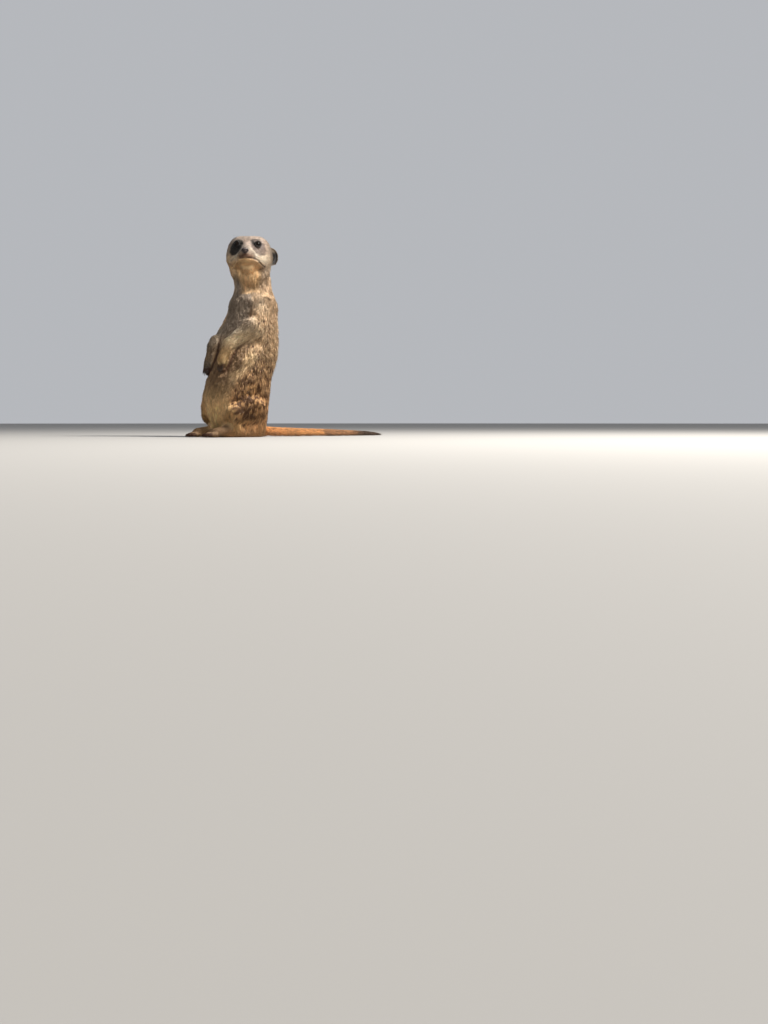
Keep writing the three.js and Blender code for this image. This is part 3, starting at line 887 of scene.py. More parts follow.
SHADES = {
    "muzzle": shade(142, 130, 120),
    "chin": shade(220, 184, 140),
    "crown": shade(174, 160, 150),
    "cheek": shade(248, 234, 216),
    "neck": shade(158, 138, 116),
    "shoulders": shade(200, 172, 142),
    "ribs": shade(206, 178, 142),
    "rump": shade(196, 154, 110),
    "tail root": shade(192, 134, 80),
    "tail": shade(190, 136, 84),
    "tail end": shade(154, 112, 76),
    "upper arm": shade(204, 176, 144),
    "forearm": shade(250, 230, 196),
    "hand": shade(212, 184, 138),
    "thigh": shade(196, 156, 110),
    "shank": shade(206, 174, 126),
    "foot": shade(158, 130, 100),
    "flank fold": shade(212, 184, 146),
}
DARK = shade(72, 37, 17)
BLACK = shade(26, 20, 18)
PATCH = shade(15, 11, 10)
PATCH_PAINTED_SUNLIGHT = shade(104, 90, 86)
WHITE = shade(240, 228, 208)
LIP = shade(98, 64, 46)
THROAT = shade(232, 196, 150)
CHEST = shade(142, 130, 118)
BELLY = shade(142, 116, 88)
LOW_BELLY_BOUNCE_LIGHT = shade(240, 206, 156)
SHOULDER_HIGHLIGHT = shade(236, 218, 194)
FAR_ARM_SHADE = shade(112, 104, 98)
TAIL_TIP = shade(48, 32, 24)
EAR_BLACK, EAR_RIM = shade(28, 21, 18), shade(128, 112, 94)
print("shades of the stretches:", len(SHADES))

# %% Marks
# Heights, and how many degrees round the trunk the belly's colour reaches there.
BELLY_EDGE = ((0, 28), (50, 34), (66, 37), (82, 43), (93, 50), (104, 58), (118, 68), (150, 66), (200, 62))
BAR_GAP, BAR_RISE = 12.5, 0.14
SHOULDER_HIGHLIGHT_ENDS = [place("chest", 0.95, 0.36, 0.96), place("chest", 1.0, 0.42, 0.84)]
CREASE_SHADE_AT = ((0.74, 0.38, 0.91), (0.79, 0.40, 0.82), (0.84, 0.40, 0.71), (0.85, 0.36, 0.61))
CREASE_SHADE = [place("chest", *at) for at in CREASE_SHADE_AT]
STREAK = [place("neck", 0.68, 0.15, 0.39), place("neck", 0.59, 0.13, 0.21)]
ARM_RIM_HIGHLIGHT = [end + (0, -3, 9) for end in FOREARM["left"][:2]]
SPOT = place("chest", 0.97, 0.63, 0.91)
NECK_PAINTED_SHADOW = place("neck", 0.84, 0.24, 0.39)
HAUNCH_TURN, HAUNCH_HIGH = 64, 44
BAR_MOST, FLECK_SIZE = 0.85, 8
HAUNCH_FLECKS, UPPER_FLECKS = 0.27, 0.09
RIDGE = [(6.5, 31, -3.5), (9.5, 27.5, -6), (16, 21, -11), (25, 10, -12)]
LIP_LINE = [(0, 42.5, -12.5), (4.5, 40.5, -14), (7.5, 38.4, -14.4)]
BROW_LINE = [(8.2, 19.4, 14.4), (12, 17.9, 15.3), (17, 16, 15.2)]
CORNER_LINE = [(10.4, 23.0, 7.6), (7.4, 21.8, 11.3), (6.4, 21.0, 13.2)]
MOUTH_PALE = (14, 25, -15.5)


def ripple(points, size, seed):
    """A random landscape from -1 to 1, with hills about this wide, the same every time."""
    dice = np.random.default_rng(seed)
    turns = dice.normal(size=(9, 3))
    turns /= np.linalg.norm(turns, axis=1, keepdims=True)
    pace = 2 * math.pi / size * dice.uniform(0.6, 1.6, 9)
    waves = np.sin(points @ (turns * pace[:, None]).T + dice.uniform(0, 2 * math.pi, 9))
    return waves.sum(1) / 4.0


def mix(colour, other, amount):
    return colour + (other - colour) * np.clip(amount, 0, 1)[:, None]


def share_of(shares, *names):
    """How much these stretches have to say together."""
    return shares @ np.array([s.name in names for s in STRETCHES], float)


def belly_edge(points):
    return np.interp(points[:, 2], *np.array(BELLY_EDGE, float).T)


def belly_share(points, shares):
    trunk = share_of(shares, "neck", "shoulders", "ribs", "rump", "flank fold", "thigh")
    turn, edge = round_trunk(points) + 6 * ripple(points, 30, 1), belly_edge(points)
    return trunk * ramp(turn, edge + 7, edge - 7)


def mark_trunk(colour, points, shares):
    high, belly = points[:, 2], belly_share(points, shares)
    colour = mix(colour, BELLY, belly * ramp(high, 150, 110))
    # Painted light: the lower belly is painted paler, as light bounced up from the ground.
    colour = mix(colour, LOW_BELLY_BOUNCE_LIGHT, belly * ramp(high, 82, 30))
    # The grey of the chest is painted lighter high on the far side, as painted fill light.
    chest = 0.85 - 0.45 * ramp(points[:, 0], 0, -12) * ramp(high, 185, 210)
    chest = chest * ramp(high, 120, 150) * ramp(high, 250, 230)
    colour = mix(colour, CHEST, belly * chest)
    # A painted highlight: the near shoulder is painted paler where sunlight falls on it.
    colour = mix(colour, SHOULDER_HIGHLIGHT, 0.75 * hill(from_line(points, SHOULDER_HIGHLIGHT_ENDS), 12))
    # Painted shade darkens the crease between the chest and the near shoulder; the neck streak is a dark
    # parting in the fur.
    for line, reach, most in ((CREASE_SHADE, 2.0, 0.45), (STREAK, 1.8, 0.95)):
        colour = mix(colour, DARK, most * hill(from_line(points, line), reach))
    colour = mix(colour, DARK, 0.5 * hill(from_spot(points, SPOT), 4))
    # A painted shadow of the head, as a darker grey on the near side of the neck.
    colour = mix(colour, CHEST * 0.5, 0.92 * hill(from_spot(points, NECK_PAINTED_SHADOW), 17))
    arm = share_of(shares, "forearm", "hand", "upper arm")
    # A painted highlight along the top of the near forearm, where sunlight catches it.
    colour = mix(colour, WHITE, 0.7 * hill(from_line(points, ARM_RIM_HIGHLIGHT), 7) * ramp(arm, 0.2, 0.5))
    # Painted shade: the far forearm and hand are painted a darker grey.
    far = share_of(shares, "forearm", "hand") * ramp(points[:, 0], -6, -14)
    colour = mix(colour, FAR_ARM_SHADE, 0.9 * far)
    # Painted shadow: the trunk close round each forearm and hand is darkened.
    trunk = 1 - arm
    for word, _ in SIDES:
        beyond, along = beyond_arm(points, word)
        below = ramp(beyond, 0.0, 1.5) * ramp(beyond, 8, 3) * ramp(along, 0.15, 0.4)
        colour = mix(colour, DARK, 0.7 * below * ramp(trunk, 0.2, 0.6))
    return colour


def lower_back(points, shares):
    """1 where the lower back and haunches carry dark marks."""
    turn, edge = round_trunk(points), belly_edge(points)
    seen = np.where(points[:, 0] > 0, ramp(turn, edge + 2, edge + 20), ramp(turn, 85, 110))
    return seen * share_of(shares, "ribs", "rump", "thigh") * ramp(points[:, 2], 128, 104)


def bar_share(points, shares):
    """How many of the tufts are dark in the broken bars that rise a little towards the back."""
    level = points[:, 2] - BAR_RISE * points[:, 1] + 3.0 * ripple(points, 26, 2)
    bars = ramp(np.sin(2 * math.pi * level / BAR_GAP), 0.0, 0.6)
    broken = ramp(ripple(points * (1, 1, 1.8), 17, 3), -0.6, 0.0)
    broken = np.maximum(broken, 0.8 * ramp(round_trunk(points), 100, 130))
    return BAR_MOST * bars * broken * lower_back(points, shares) * ramp(points[:, 2], 12, 26)


def fleck_share(points, shares):
    """How many of the tufts are dark in small clouds, most of them on the haunch."""
    high, turn, belly = points[:, 2], round_trunk(points), belly_share(points, shares)
    haunch = lower_back(points, shares) * ramp(high, 100, 58) * ramp(high, 10, 24)
    hollow = np.hypot((turn - HAUNCH_TURN) / 26, (high - HAUNCH_HIGH) / 18)
    upper = share_of(shares, "shoulders", "ribs", "rump", "upper arm") * (1 - belly)
    upper = upper * ramp(high, 185, 150) * ramp(high, 60, 90)
    most = HAUNCH_FLECKS * haunch * (1 + 1.5 * ramp(hollow, 1.2, 0.6)) + UPPER_FLECKS * upper
    most = most * (1 - 0.6 * ramp(turn, 90, 120))
    level = 0.75 - 1.5 * most
    clouds = ripple(points * (1, 1, 1.2), FLECK_SIZE, 6)
    return ramp(most, 0.01, 0.06) * ramp(clouds, level - 0.1, level + 0.15)


def dark_share(points):
    """How many of the tufts are dark at each point, in bars and flecks together."""
    shares = shares_of(points)
    return np.maximum(bar_share(points, shares), fleck_share(points, shares))


def mark_throat(colour, points):
    turn = round_trunk(points)
    # The throat's warm tan is partly the fur's own and partly painted light bounced up from below; it
    # reaches less far round the near side, which is in painted shadow, and further round the far side.
    widest = np.where(points[:, 0] > 0, 62, 110)
    front = ramp(turn, widest, widest - 38) * ramp(points[:, 2], 215, 240) * ramp(points[:, 2], 262, 240)
    return mix(colour, THROAT, 0.85 * front)


def mark_face(colour, points):
    local = mirrored(in_head(points))
    wide, front, high = local.T
    near = np.linalg.norm(local, axis=1) < 60
    colour = mix(colour, WHITE, 0.75 * hill(from_line(local, RIDGE), 4.2) * near)
    colour = mix(colour, LIP, 0.95 * hill(from_line(local, LIP_LINE), 3.0) * ramp(high, -17.5, -15.5))
    # The chin takes the same warm tan, partly its own colour and partly painted bounce light.
    chin = ramp(high, -15.5, -18) * ramp(wide, 24, 15) * ramp(front, -2, 8) * near
    colour = mix(colour, THROAT, 0.85 * chin)
    drop = wide - 15.4 - 0.30 * (5 - high)
    patch = np.hypot(drop / 9.8, (high - 3.8) / 12.0)
    patch = patch + 0.07 * ripple(points, 5, 5)
    patch = 0.96 * ramp(patch, 1.06, 0.86) * ramp(front, 2, 9)
    # The near eye patch is painted a lighter grey, as sunlight glancing off its dark hair; the far patch
    # keeps its dark colour.
    lit = ramp(in_head(points)[:, 0], -2, 2)
    colour = mix(mix(colour, PATCH, patch * (1 - lit)), PATCH_PAINTED_SUNLIGHT, 0.85 * patch * lit)
    colour = mix(colour, PATCH, 0.75 * hill(from_line(local, BROW_LINE), 1.6) * lit)
    colour = mix(colour, PATCH, 0.95 * hill(from_line(local, CORNER_LINE), 3.0) * lit)
    # Painted shade darkens the mouth line, the jaw fold and the cleft under the nose; along the mouth it
    # is also the dark edge of the lip. All three are painted fainter on the far side and at one spot along
    # the mouth.
    near_side = 0.1 + 0.9 * ramp(in_head(points)[:, 0], -10, -6)
    faint = 1 - 0.65 * hill(from_spot(local, MOUTH_PALE), 8)
    for line, reach in ((MOUTH, 1.15), (JAW_FOLD, 1.1), (CLEFT, 0.7)):
        colour = mix(colour, DARK, 0.9 * near_side * faint * hill(from_line(local, line), reach))
    return colour


def mark_lids(colour, points):
    for side in EYES:
        past, _ = past_slit(points, side)
        near = from_spot(points, EYES[side]) < 12
        colour = mix(colour, BLACK, near * ramp(past, 2.6, 1.2))
    return colour


def mark_ends(colour, points, shares):
    """The dark ends of the tail and of the digits."""
    tail = share_of(shares, "tail", "tail end") * ramp(points[:, 1], 205, 240)
    colour = mix(colour, TAIL_TIP, 0.9 * tail)
    tips = np.array([digit_line(claw)[1] for claw in CLAWS])
    away = np.min([from_spot(points, tip) for tip in tips], axis=0)
    return mix(colour, DARK, 0.9 * ramp(away, 8, 3))


def markings(points):
    """The colour of the coat at each point, in millimetres."""
    shares = shares_of(points)
    colour = shares @ np.array([SHADES[s.name] for s in STRETCHES])
    colour = mark_trunk(colour, points, shares)
    colour = mark_throat(colour, points)
    colour = mark_face(colour, points)
    colour = mark_lids(colour, points)
    return mark_ends(colour, points, shares)


def keep_colour(piece, colour):
    keep(piece, "coat_colour", np.column_stack([np.clip(colour, 0, 1), np.ones(len(colour))]))


points = points_of(skin)
on_ear = fetch(skin.data.attributes["on_ear"].data, "value", 1)[:, 0]
bare_colour = mix(markings(points), EAR_BLACK, on_ear > 0)
ear_top = ramp(in_head(points)[:, 2], 2, 7)
rim = np.maximum(0.8 * ramp(on_ear, 0.9, 1.0), ear_top)
bare_colour = mix(bare_colour, EAR_RIM, (on_ear > 0) * rim)
keep_colour(skin, mix(bare_colour, DARK, 0.6 * dark_share(points)))
print("marks laid on", len(skin.data.vertices), "points")

# %% [markdown]
# ## Coat
# Real hairs are far too many to model, and hair that only exists while it is drawn is lost when
# the model is passed on. So the coat is made of tufts: each is one thin, closed, tapering lock of
# a few faces, and tens of thousands overlap like thatch. First every point of the skin is told
# the lie, length, width and density of its hair. The lie is evened out over the skin, so that it
# turns gently where one stretch gives way to the next.

# %% Hair at each point of the skin
LIE_ROUNDS = 50
COVER = {"ears": 1.2, "head": 2.9, "trunk": 4.3, "limbs": 3.1, "tail": 3.4}
GROUPS = {
    "ears": (),
    "head": ("muzzle", "chin", "crown", "cheek"),
    "trunk": ("neck", "shoulders", "ribs", "rump", "upper arm", "flank fold", "thigh"),
    "limbs": ("forearm", "hand", "shank", "foot"),
    "tail": ("tail root", "tail", "tail end"),
}
EAR_HAIR = {"long": 2.2, "wide": 0.4, "lift": 7, "draw": 0.2}
EAR_ROOT_BARE, SOLE_HIGH = 0.14, 1.2


def along_skin(vectors, out):
    return unit(vectors - out * (vectors * out).sum(1, keepdims=True))


def lie_of(shares, out, edges):
    runs = unit(np.array([s.end - s.start for s in STRETCHES]))
    lie = along_skin(shares @ runs, out)
    free = share_of(shares, "forearm", "hand", "shank", "foot") > 0.5
    edges = edges[free[edges[:, 0]] == free[edges[:, 1]]]
    for _ in range(LIE_ROUNDS):
        lie = along_skin(lie + neighbours_mean(lie, edges), out)
    return lie


def bare_share(points):
    """0 where no hair grows: in the slit of the eye, in the mouth and under the nose pad."""
    hairy = np.ones(len(points))
    for side in EYES:
        past, _ = past_slit(points, side)
        near = from_spot(points, EYES[side]) < 12
        hairy *= np.where(near, ramp(past, 0.7, 1.3), 1)
    local = mirrored(in_head(points))
    hairy *= ramp(from_line(local, MOUTH), 0.5, 1.2)
    pad = np.linalg.norm((local - in_head(place("nose"))) / NOSE_HALF, axis=1)
    return hairy * ramp(pad, 1.02, 1.12)


def short_share(points):
    """How far the hair is shortened, round the eyes, on the lips and near the nose."""
    local = mirrored(in_head(points))
    from_nose = from_spot(local, in_head(place("nose")))
    shortest = np.minimum(ramp(from_eyes(points), 5, 14), ramp(from_nose, 4, 18))
    return 0.45 + 0.55 * np.minimum(shortest, 0.5 + 0.5 * ramp(from_line(local, MOUTH), 0, 5))


def arm_crease(points, shares):
    """1 on the trunk close round an arm, where long hair would bury it."""
    trunk = ramp(share_of(shares, "forearm", "hand"), 0.6, 0.3)
    crease = np.zeros(len(points))
    for word, _ in SIDES:
        beyond, along = beyond_arm(points, word)
        crease = np.maximum(crease, ramp(np.abs(beyond - 2.5), 6, 2) * ramp(along, 0.03, 0.15))
    return trunk * crease


def hair_map(piece):
    points, out = points_of(piece), normals_of(piece)
    shares, turn, high = shares_of(points), round_trunk(points), points[:, 2]
    trunk = share_of(shares, *GROUPS["trunk"])
    hair = {key: np.where(on_ear > 0, bare, told(shares, key)) for key, bare in EAR_HAIR.items()}
    belly = ramp(turn, 62, 40) * trunk
    hair["long"] *= (1 - 0.35 * belly) * np.where(on_ear > 0, 1, short_share(points))
    hair["draw"] *= 1 - 0.5 * belly
    hair["long"] *= 1 - 0.55 * arm_crease(points, shares)
    rough = ramp(turn, 100, 140) * ramp(high, 85, 115) * ramp(high, 185, 160)
    hair["lift"] *= 1 + 1.1 * rough * trunk
    cover = shares @ np.array([COVER[g] for s in STRETCHES for g in GROUPS if s.name in GROUPS[g]])
    hair["density"] = cover / (0.5 * hair["long"] * hair["wide"])
    hair["density"] *= bare_share(points) * np.where((on_ear > 0) & (on_ear < EAR_ROOT_BARE), 0, 1)
    hair["density"] *= np.where(high < SOLE_HIGH, 0, 1)
    by_group = [share_of(shares, *names) for names in GROUPS.values()]
    hair["group"] = np.where(on_ear > 0, 0, np.argmax(by_group, axis=0))
    hair.update(points=points, out=out, lie=lie_of(shares, out, edges_of(piece)))
    return hair


hair = hair_map(skin)
hair["colour"] = bare_colour
hair["even"] = np.ones(len(hair["points"]))
print("hair from", round(hair["long"].min(), 1), "to", round(hair["long"].max(), 1), "mm long")

# %% [markdown]
# The skin is unwrapped once, by its own shape. Every tuft carries a small patch of that
# unwrap, at its root, so that its colours can be baked from it later.

# %% Unwrap
UNWRAP_ANGLE = math.radians(75)
unwrap = {"angle_limit": UNWRAP_ANGLE, "island_margin": 0.001}
edit(skin, (bpy.ops.mesh.quads_convert_to_tris, {}), (bpy.ops.uv.smart_project, unwrap))
skin.data.uv_layers[0].name = "OFBake"
print("unwrap:", len(skin.data.uv_layers), "map,", len(skin.data.polygons), "triangles of skin")

# %% [markdown]
# Tufts are scattered over the faces by their area and density, then all built at once: a ring of
# three points at the root and a tip, and on trunk and tail a second ring where the tuft is widest.
# Each leaves the skin at a small angle. One with a second ring bends back to it. Neighbours lean
# together a little, because real coats clump.

# %% Scattering roots
PATCH_SIZE = 0.003
SUNK = 0.35


triangles = fetch(skin.data.polygons, "vertices", 3, np.int32)
triangle_uv = fetch(skin.data.uv_layers["OFBake"].data, "uv", 2).reshape(-1, 3, 2)


def scatter(group, seed, thinning=1.0, by="density"):
    """Random roots in one group of stretches: the faces they lie in, and shares of its corners."""
    a, b, c = (hair["points"][triangles[:, k]] for k in range(3))
    area = np.linalg.norm(np.cross(b - a, c - a), axis=1) / 2
    here = hair["group"][triangles[:, 0]] == list(GROUPS).index(group)
    wanted = np.cumsum(area * hair[by][triangles].mean(1) * here * thinning)
    count = int(wanted[-1])
    dice = np.random.default_rng(seed)
    faces = np.searchsorted(wanted, (np.arange(count) + dice.uniform(0, 1, count)) * wanted[-1] / count)
    first, second = np.sqrt(dice.uniform(0, 1, count)), dice.uniform(0, 1, count)
    shares = np.column_stack([1 - first, first * (1 - second), first * second])
    return np.minimum(faces, len(triangles) - 1), shares, dice


def read(key, faces, shares):
    """What the hair map says at roots."""
    return np.einsum("ij,ij...->i...", shares, hair[key][triangles[faces]])


def read_uv(faces, shares):
    return np.einsum("ij,ijk->ik", shares, triangle_uv[faces])


# %% Building tufts
Tufts = namedtuple("Tufts", "roots lie out long wide lift uv")
SAG = 0.4


def turned(vectors, axes, angles):
    """Vectors turned round axes at right angles to them."""
    return vectors * np.cos(angles)[:, None] + np.cross(axes, vectors) * np.sin(angles)[:, None]


def build_tufts(name, tufts, colours, rings):
    """One mesh of tufts. rings says how far along each ring lies and how wide it is."""
    roots, lie, out, long, wide, lift, uv = tufts
    count, ring_count = len(roots), len(rings)
    across = np.cross(out, lie)
    points, places, shades = [], [], []
    for row, (at, width) in enumerate(rings):
        rise = np.sin(lift) * (at - SAG * at * at)
        middle = roots + lie * (long * at)[:, None] + out * (long * rise - SUNK * (at == 0))[:, None]
        half = across * (wide * width / 2)[:, None]
        ridge = out * (wide * width * 0.45)[:, None]
        points += [middle - half, middle + half, middle + ridge]
        high = PATCH_SIZE * (at - 0.5)
        places += [uv + (-PATCH_SIZE / 2, high), uv + (PATCH_SIZE / 2, high), uv + (0, high)]
        shades += [colours[row]] * 3
    rise = np.sin(lift) * (1 - SAG)
    points.append(roots + lie * long[:, None] + out * (long * rise)[:, None])
    places.append(uv + (0, PATCH_SIZE / 2))
    shades.append(colours[-1])
    faces = [(0, 1, 2)]
    for row in range(ring_count - 1):
        low, high = 3 * row, 3 * row + 3
        for one, two in ((0, 1), (1, 2), (2, 0)):
            faces += [(low + two, low + one, high + one), (low + two, high + one, high + two)]
    low, tip = 3 * (ring_count - 1), 3 * ring_count
    faces += [(low + two, low + one, tip) for one, two in ((0, 1), (1, 2), (2, 0))]
    per_tuft = 3 * ring_count + 1
    points = np.stack(points, 1).reshape(-1, 3)
    points[:, 2] = np.maximum(points[:, 2], FLOOR_CLEAR)
    places = np.stack(places, 1).reshape(-1, 2)
    shades = np.stack(shades, 1).reshape(-1, 3)
    corners = (np.arange(count)[:, None, None] * per_tuft + np.array(faces)[None]).reshape(-1)
    return mesh_piece(name, points, corners, places, shades)


def mesh_piece(name, points, corners, places, shades):
    """A piece of triangles made from arrays, with its unwrap and colours."""
    mesh = bpy.data.meshes.new(name)
    mesh.vertices.add(len(points))
    mesh.vertices.foreach_set("co", (points * MM).astype(np.float32).ravel())
    mesh.loops.add(len(corners))
    mesh.loops.foreach_set("vertex_index", corners.astype(np.int32))
    count = len(corners) // 3
    mesh.polygons.add(count)
    mesh.polygons.foreach_set("loop_start", np.arange(count, dtype=np.int32) * 3)
    mesh.update(calc_edges=True)
    mesh.polygons.foreach_set("use_smooth", np.ones(count, bool))
    layer = mesh.uv_layers.new(name="OFBake")
    layer.data.foreach_set("uv", places[corners].astype(np.float32).ravel())
    piece = link(bpy.data.objects.new(name, mesh))
    keep_colour(piece, shades)
    return piece


print("each tuft has a patch", PATCH_SIZE, "across")

# %% [markdown]
# Wet or dry, hairs draw together into locks. So a sparser set of middles is scattered over the
# same skin, and each tuft leans towards the tip of the lock whose middle is nearest. A lock also
# shares its brightness. Dark marks are told tuft by tuft, from where each tuft is seen.

# %% Locks
LOCK_SIZE = {"ears": 2.0, "head": 2.2, "trunk": 3.4, "limbs": 2.6, "tail": 3.0}
LOCK_SLIM = {"trunk": (1, 1, 0.4), "limbs": (1, 1, 0.7), "tail": (1, 0.5, 1)}
LOCK_SPREAD = 0.16


def nearest_of(places, points):
    """The number of the place that is nearest to each point."""
    tree = KDTree(len(places))
    for number, place_at in enumerate(places):
        tree.insert(place_at, number)
    tree.balance()
    return np.array([tree.find(point)[1] for point in points])


def gather(group, seed, roots, lie, long, draw):
    """For each tuft the way to its tip, and the brightness and lift of its lock."""
    faces, shares, dice = scatter(group, seed + 50, 1 / LOCK_SIZE[group] ** 2, "even")
    middles, slim = read("points", faces, shares), LOCK_SLIM.get(group, (1, 1, 1))
    own = nearest_of(middles * slim, roots * slim)
    ways = read("lie", faces, shares) * read("long", faces, shares)[:, None]
    tips = middles + ways * dice.uniform(0.7, 1.25, len(middles))[:, None]
    lock = lie * long[:, None]
    pull = tips[own] - roots - lock
    pull -= 0.8 * lie * (pull * lie).sum(1, keepdims=True)
    lock = lock + draw[:, None] * pull
    bright = 1 + LOCK_SPREAD * dice.normal(size=len(middles)).clip(-2, 2)
    raised = dice.uniform(0.7, 1.35, len(middles))
    return lock, bright[own], raised[own]


print("locks", min(LOCK_SIZE.values()), "to", max(LOCK_SIZE.values()), "mm apart")

# %% Growing the coat
FLOOR_CLEAR = 0.15
SHORT, BENT = ((0.0, 1.0),), ((0.0, 0.7), (0.42, 1.0))
RINGS = {"ears": SHORT, "head": SHORT, "trunk": BENT, "limbs": SHORT, "tail": BENT}
LEAN_TOGETHER, LEAN_ALONE = math.radians(6), math.radians(8)
PART_LIMIT = 195000
# Tufts are painted darker and warmer at the root: partly the hair's own dark base, partly painted shade
# deep in the coat.
ROOT_TONE_AND_SHADE = {"ears": 0.7, "head": 0.7, "trunk": 0.45, "limbs": 0.65, "tail": 0.5}
ROOT_TINT = np.array([1.12, 0.93, 0.76])
TIP_SHADE = 1.15
DARK_TIP = 0.7
SHOWN_AT = 0.7
THIN = 1.0


def tuft_colours(group, shown, own, bright, dice):
    """The colours of tufts at the root, along them and at the tip."""
    light = own if group == "ears" else markings(shown)
    light = light * (bright * dice.uniform(0.84, 1.16, len(shown)))[:, None]
    dark = dark_share(shown) > dice.uniform(0, 1, len(shown))
    colour = mix(light, DARK, 0.9 * dark)
    along = [colour] * (len(RINGS[group]) - 1)
    tip = mix(light * TIP_SHADE, DARK, DARK_TIP * dark)
    return [colour * ROOT_TINT * ROOT_TONE_AND_SHADE[group], *along, tip]


def grow(group, seed):
    faces, shares, dice = scatter(group, seed, THIN)
    roots, out = read("points", faces, shares), unit(read("out", faces, shares))
    lie = along_skin(read("lie", faces, shares), out)
    count = len(roots)
    lie = turned(lie, out, LEAN_TOGETHER * ripple(roots, 16, seed) + LEAN_ALONE * dice.normal(size=count))
    long = read("long", faces, shares) * dice.uniform(0.75, 1.2, count)
    wide = read("wide", faces, shares) * dice.uniform(0.7, 1.25, count)
    lock, bright, raised = gather(group, seed, roots, lie, long, read("draw", faces, shares))
    lie, long = along_skin(lock, out), np.linalg.norm(lock, axis=1)
    lift = np.radians(read("lift", faces, shares)) * raised * dice.uniform(0.7, 1.3, count)
    shown = roots + SHOWN_AT * lie * long[:, None]
    colours = tuft_colours(group, shown, read("colour", faces, shares), bright, dice)
    tufts = Tufts(roots, lie, out, long, wide, lift, read_uv(faces, shares))
    triangles_each = 6 * len(RINGS[group]) - 2
    parts = np.array_split(np.arange(count), math.ceil(count * triangles_each / PART_LIMIT))
    made = []
    for number, p in enumerate(parts, 1):
        part, shades = Tufts(*(values[p] for values in tufts)), [c[p] for c in colours]
        made.append(build_tufts(f"coat_{group}_{number}", part, shades, RINGS[group]))
    print(group, "tufts:", count)
    return made


coat = {group: grow(group, 10 + number) for number, group in enumerate(GROUPS)}
print("coat pieces:", sum(len(pieces) for pieces in coat.values()))

# %% [markdown]
# Whiskers grow from the pads beside the nose and a few more over each eye. They are the same tufts,
# only thinner, with more rings and so a rounder bend, so one function builds both.

# %% Whiskers
WHISKER_RINGS = ((0.0, 1.0), (0.3, 0.8), (0.6, 0.55), (0.85, 0.3))
WHISKER_WIDE = 0.17
PAD_ROOTS = [(6.5 + 1.7 * n, 38.5 - 3.4 * n, -7.5 - 1.9 * row) for row in range(3) for n in range(4)]
BROW_ROOTS = [(11.0, 18.5, 17.0), (14.0, 17.0, 17.2), (17.0, 15.0, 16.6)]


def faces_near(places):
    """The face of the skin nearest to each place."""
    centres = hair["points"][triangles].mean(1)
    close = np.flatnonzero(np.linalg.norm(in_head(centres), axis=1) < 55)
    return close[nearest_of(centres[close], places)]


def make_whiskers():
    at_roots = PAD_ROOTS + BROW_ROOTS
    local = np.array([np.multiply(at, (s, 1, 1)) for s in (LEFT, RIGHT) for at in at_roots])
    faces, over_eye = faces_near(from_head(local)), local[:, 2] > 0
    count, dice = len(faces), np.random.default_rng(40)
    shares = np.full((count, 3), 1 / 3)
    roots, out = read("points", faces, shares), unit(read("out", faces, shares))
    ways = [0.7 * np.sign(local[:, 0]), np.full(count, -0.5), np.where(over_eye, 0.8, -0.25)]
    lie = along_skin(np.column_stack(ways) @ HEAD_AXES + 0.12 * dice.normal(size=(count, 3)), out)
    long = np.where(over_eye, 9, 8 + 0.9 * np.abs(local[:, 0])) * dice.uniform(0.85, 1.15, count)
    lift = np.radians(dice.uniform(32, 48, count))
    colours = [np.tile(shade, (count, 1)) for shade in [BLACK] * len(WHISKER_RINGS) + [LIP]]
    wide = np.full(count, WHISKER_WIDE)
    tufts = Tufts(roots, lie, out, long, wide, lift, read_uv(faces, shares))
    return build_tufts("whiskers", tufts, colours, WHISKER_RINGS)


whiskers = make_whiskers()
print("whiskers:", len(PAD_ROOTS + BROW_ROOTS) * 2)

# %% [markdown]
# ## Finishes
# The skin is painted darker than the markings, as shade under the fur, and it is finely grained.
# The hair has a soft gloss of its own. Both read the colour that the markings gave them, so one
# material does for the whole coat, where a painter would have made a dozen.

# %% Hide and hair
HIDE_GRAIN, HIDE_BUMP = 1900, 0.00012
HAIR_GRAIN = 420
# The skin's colour is scaled down to between a half and three quarters: painted shade under the fur.
HIDE_SHADE_SPREAD, HAIR_SPREAD = (0.5, 0.74), (0.8, 1.2)
SHEEN = {"Sheen Weight": 0.08, "Sheen Roughness": 0.5, "Sheen Tint": (1.0, 0.93, 0.82, 1)}


def node(tree, kind, *sources, **settings):
    """A node with these settings, whose first inputs are fed by the sources."""
    made = tree.nodes.new("ShaderNode" + kind)
    for key, value in settings.items():
        if key in made.inputs:
            made.inputs[key].default_value = value
        else:
            setattr(made, key, value)
    for source, socket in zip(sources, made.inputs):
        tree.links.new(source, socket)
    return made


def grain(tree, scale, detail=3.0, stretched=None):
    """Fine noise fixed to the piece, drawn out where its directions are stretched."""
    places = node(tree, "TexCoord").outputs["Object"]
    if stretched:
        places = times(tree, places, stretched)
    return node(tree, "TexNoise", places, Scale=scale, Detail=detail).outputs["Fac"]


def times(tree, vector, factors):
    """A vector with each of its directions multiplied."""
    scaled = node(tree, "VectorMath", vector, operation="MULTIPLY")
    scaled.inputs[1].default_value = factors
    return scaled.outputs["Vector"]


def bumped(tree, shader, height, depth):
    bump = node(tree, "Bump", Distance=depth)
    tree.links.new(height, bump.inputs["Height"])
    tree.links.new(bump.outputs["Normal"], shader.inputs["Normal"])


def coat_material(name, roughness, scale, spread, bump=None, **settings):
    """Reads the markings, a little darker and lighter by noise."""
    material, tree, shader = new_material(name, roughness, **settings)
    marks = node(tree, "Attribute", attribute_name="coat_colour").outputs["Color"]
    noise = grain(tree, scale)
    least, most = spread
    amount = node(tree, "MapRange", noise, **{"To Min": least, "To Max": most})
    varied = node(tree, "VectorMath", marks, operation="SCALE")
    tree.links.new(amount.outputs["Result"], varied.inputs["Scale"])
    tree.links.new(varied.outputs["Vector"], shader.inputs["Base Color"])
    if bump:
        bumped(tree, shader, noise, bump)
    return material


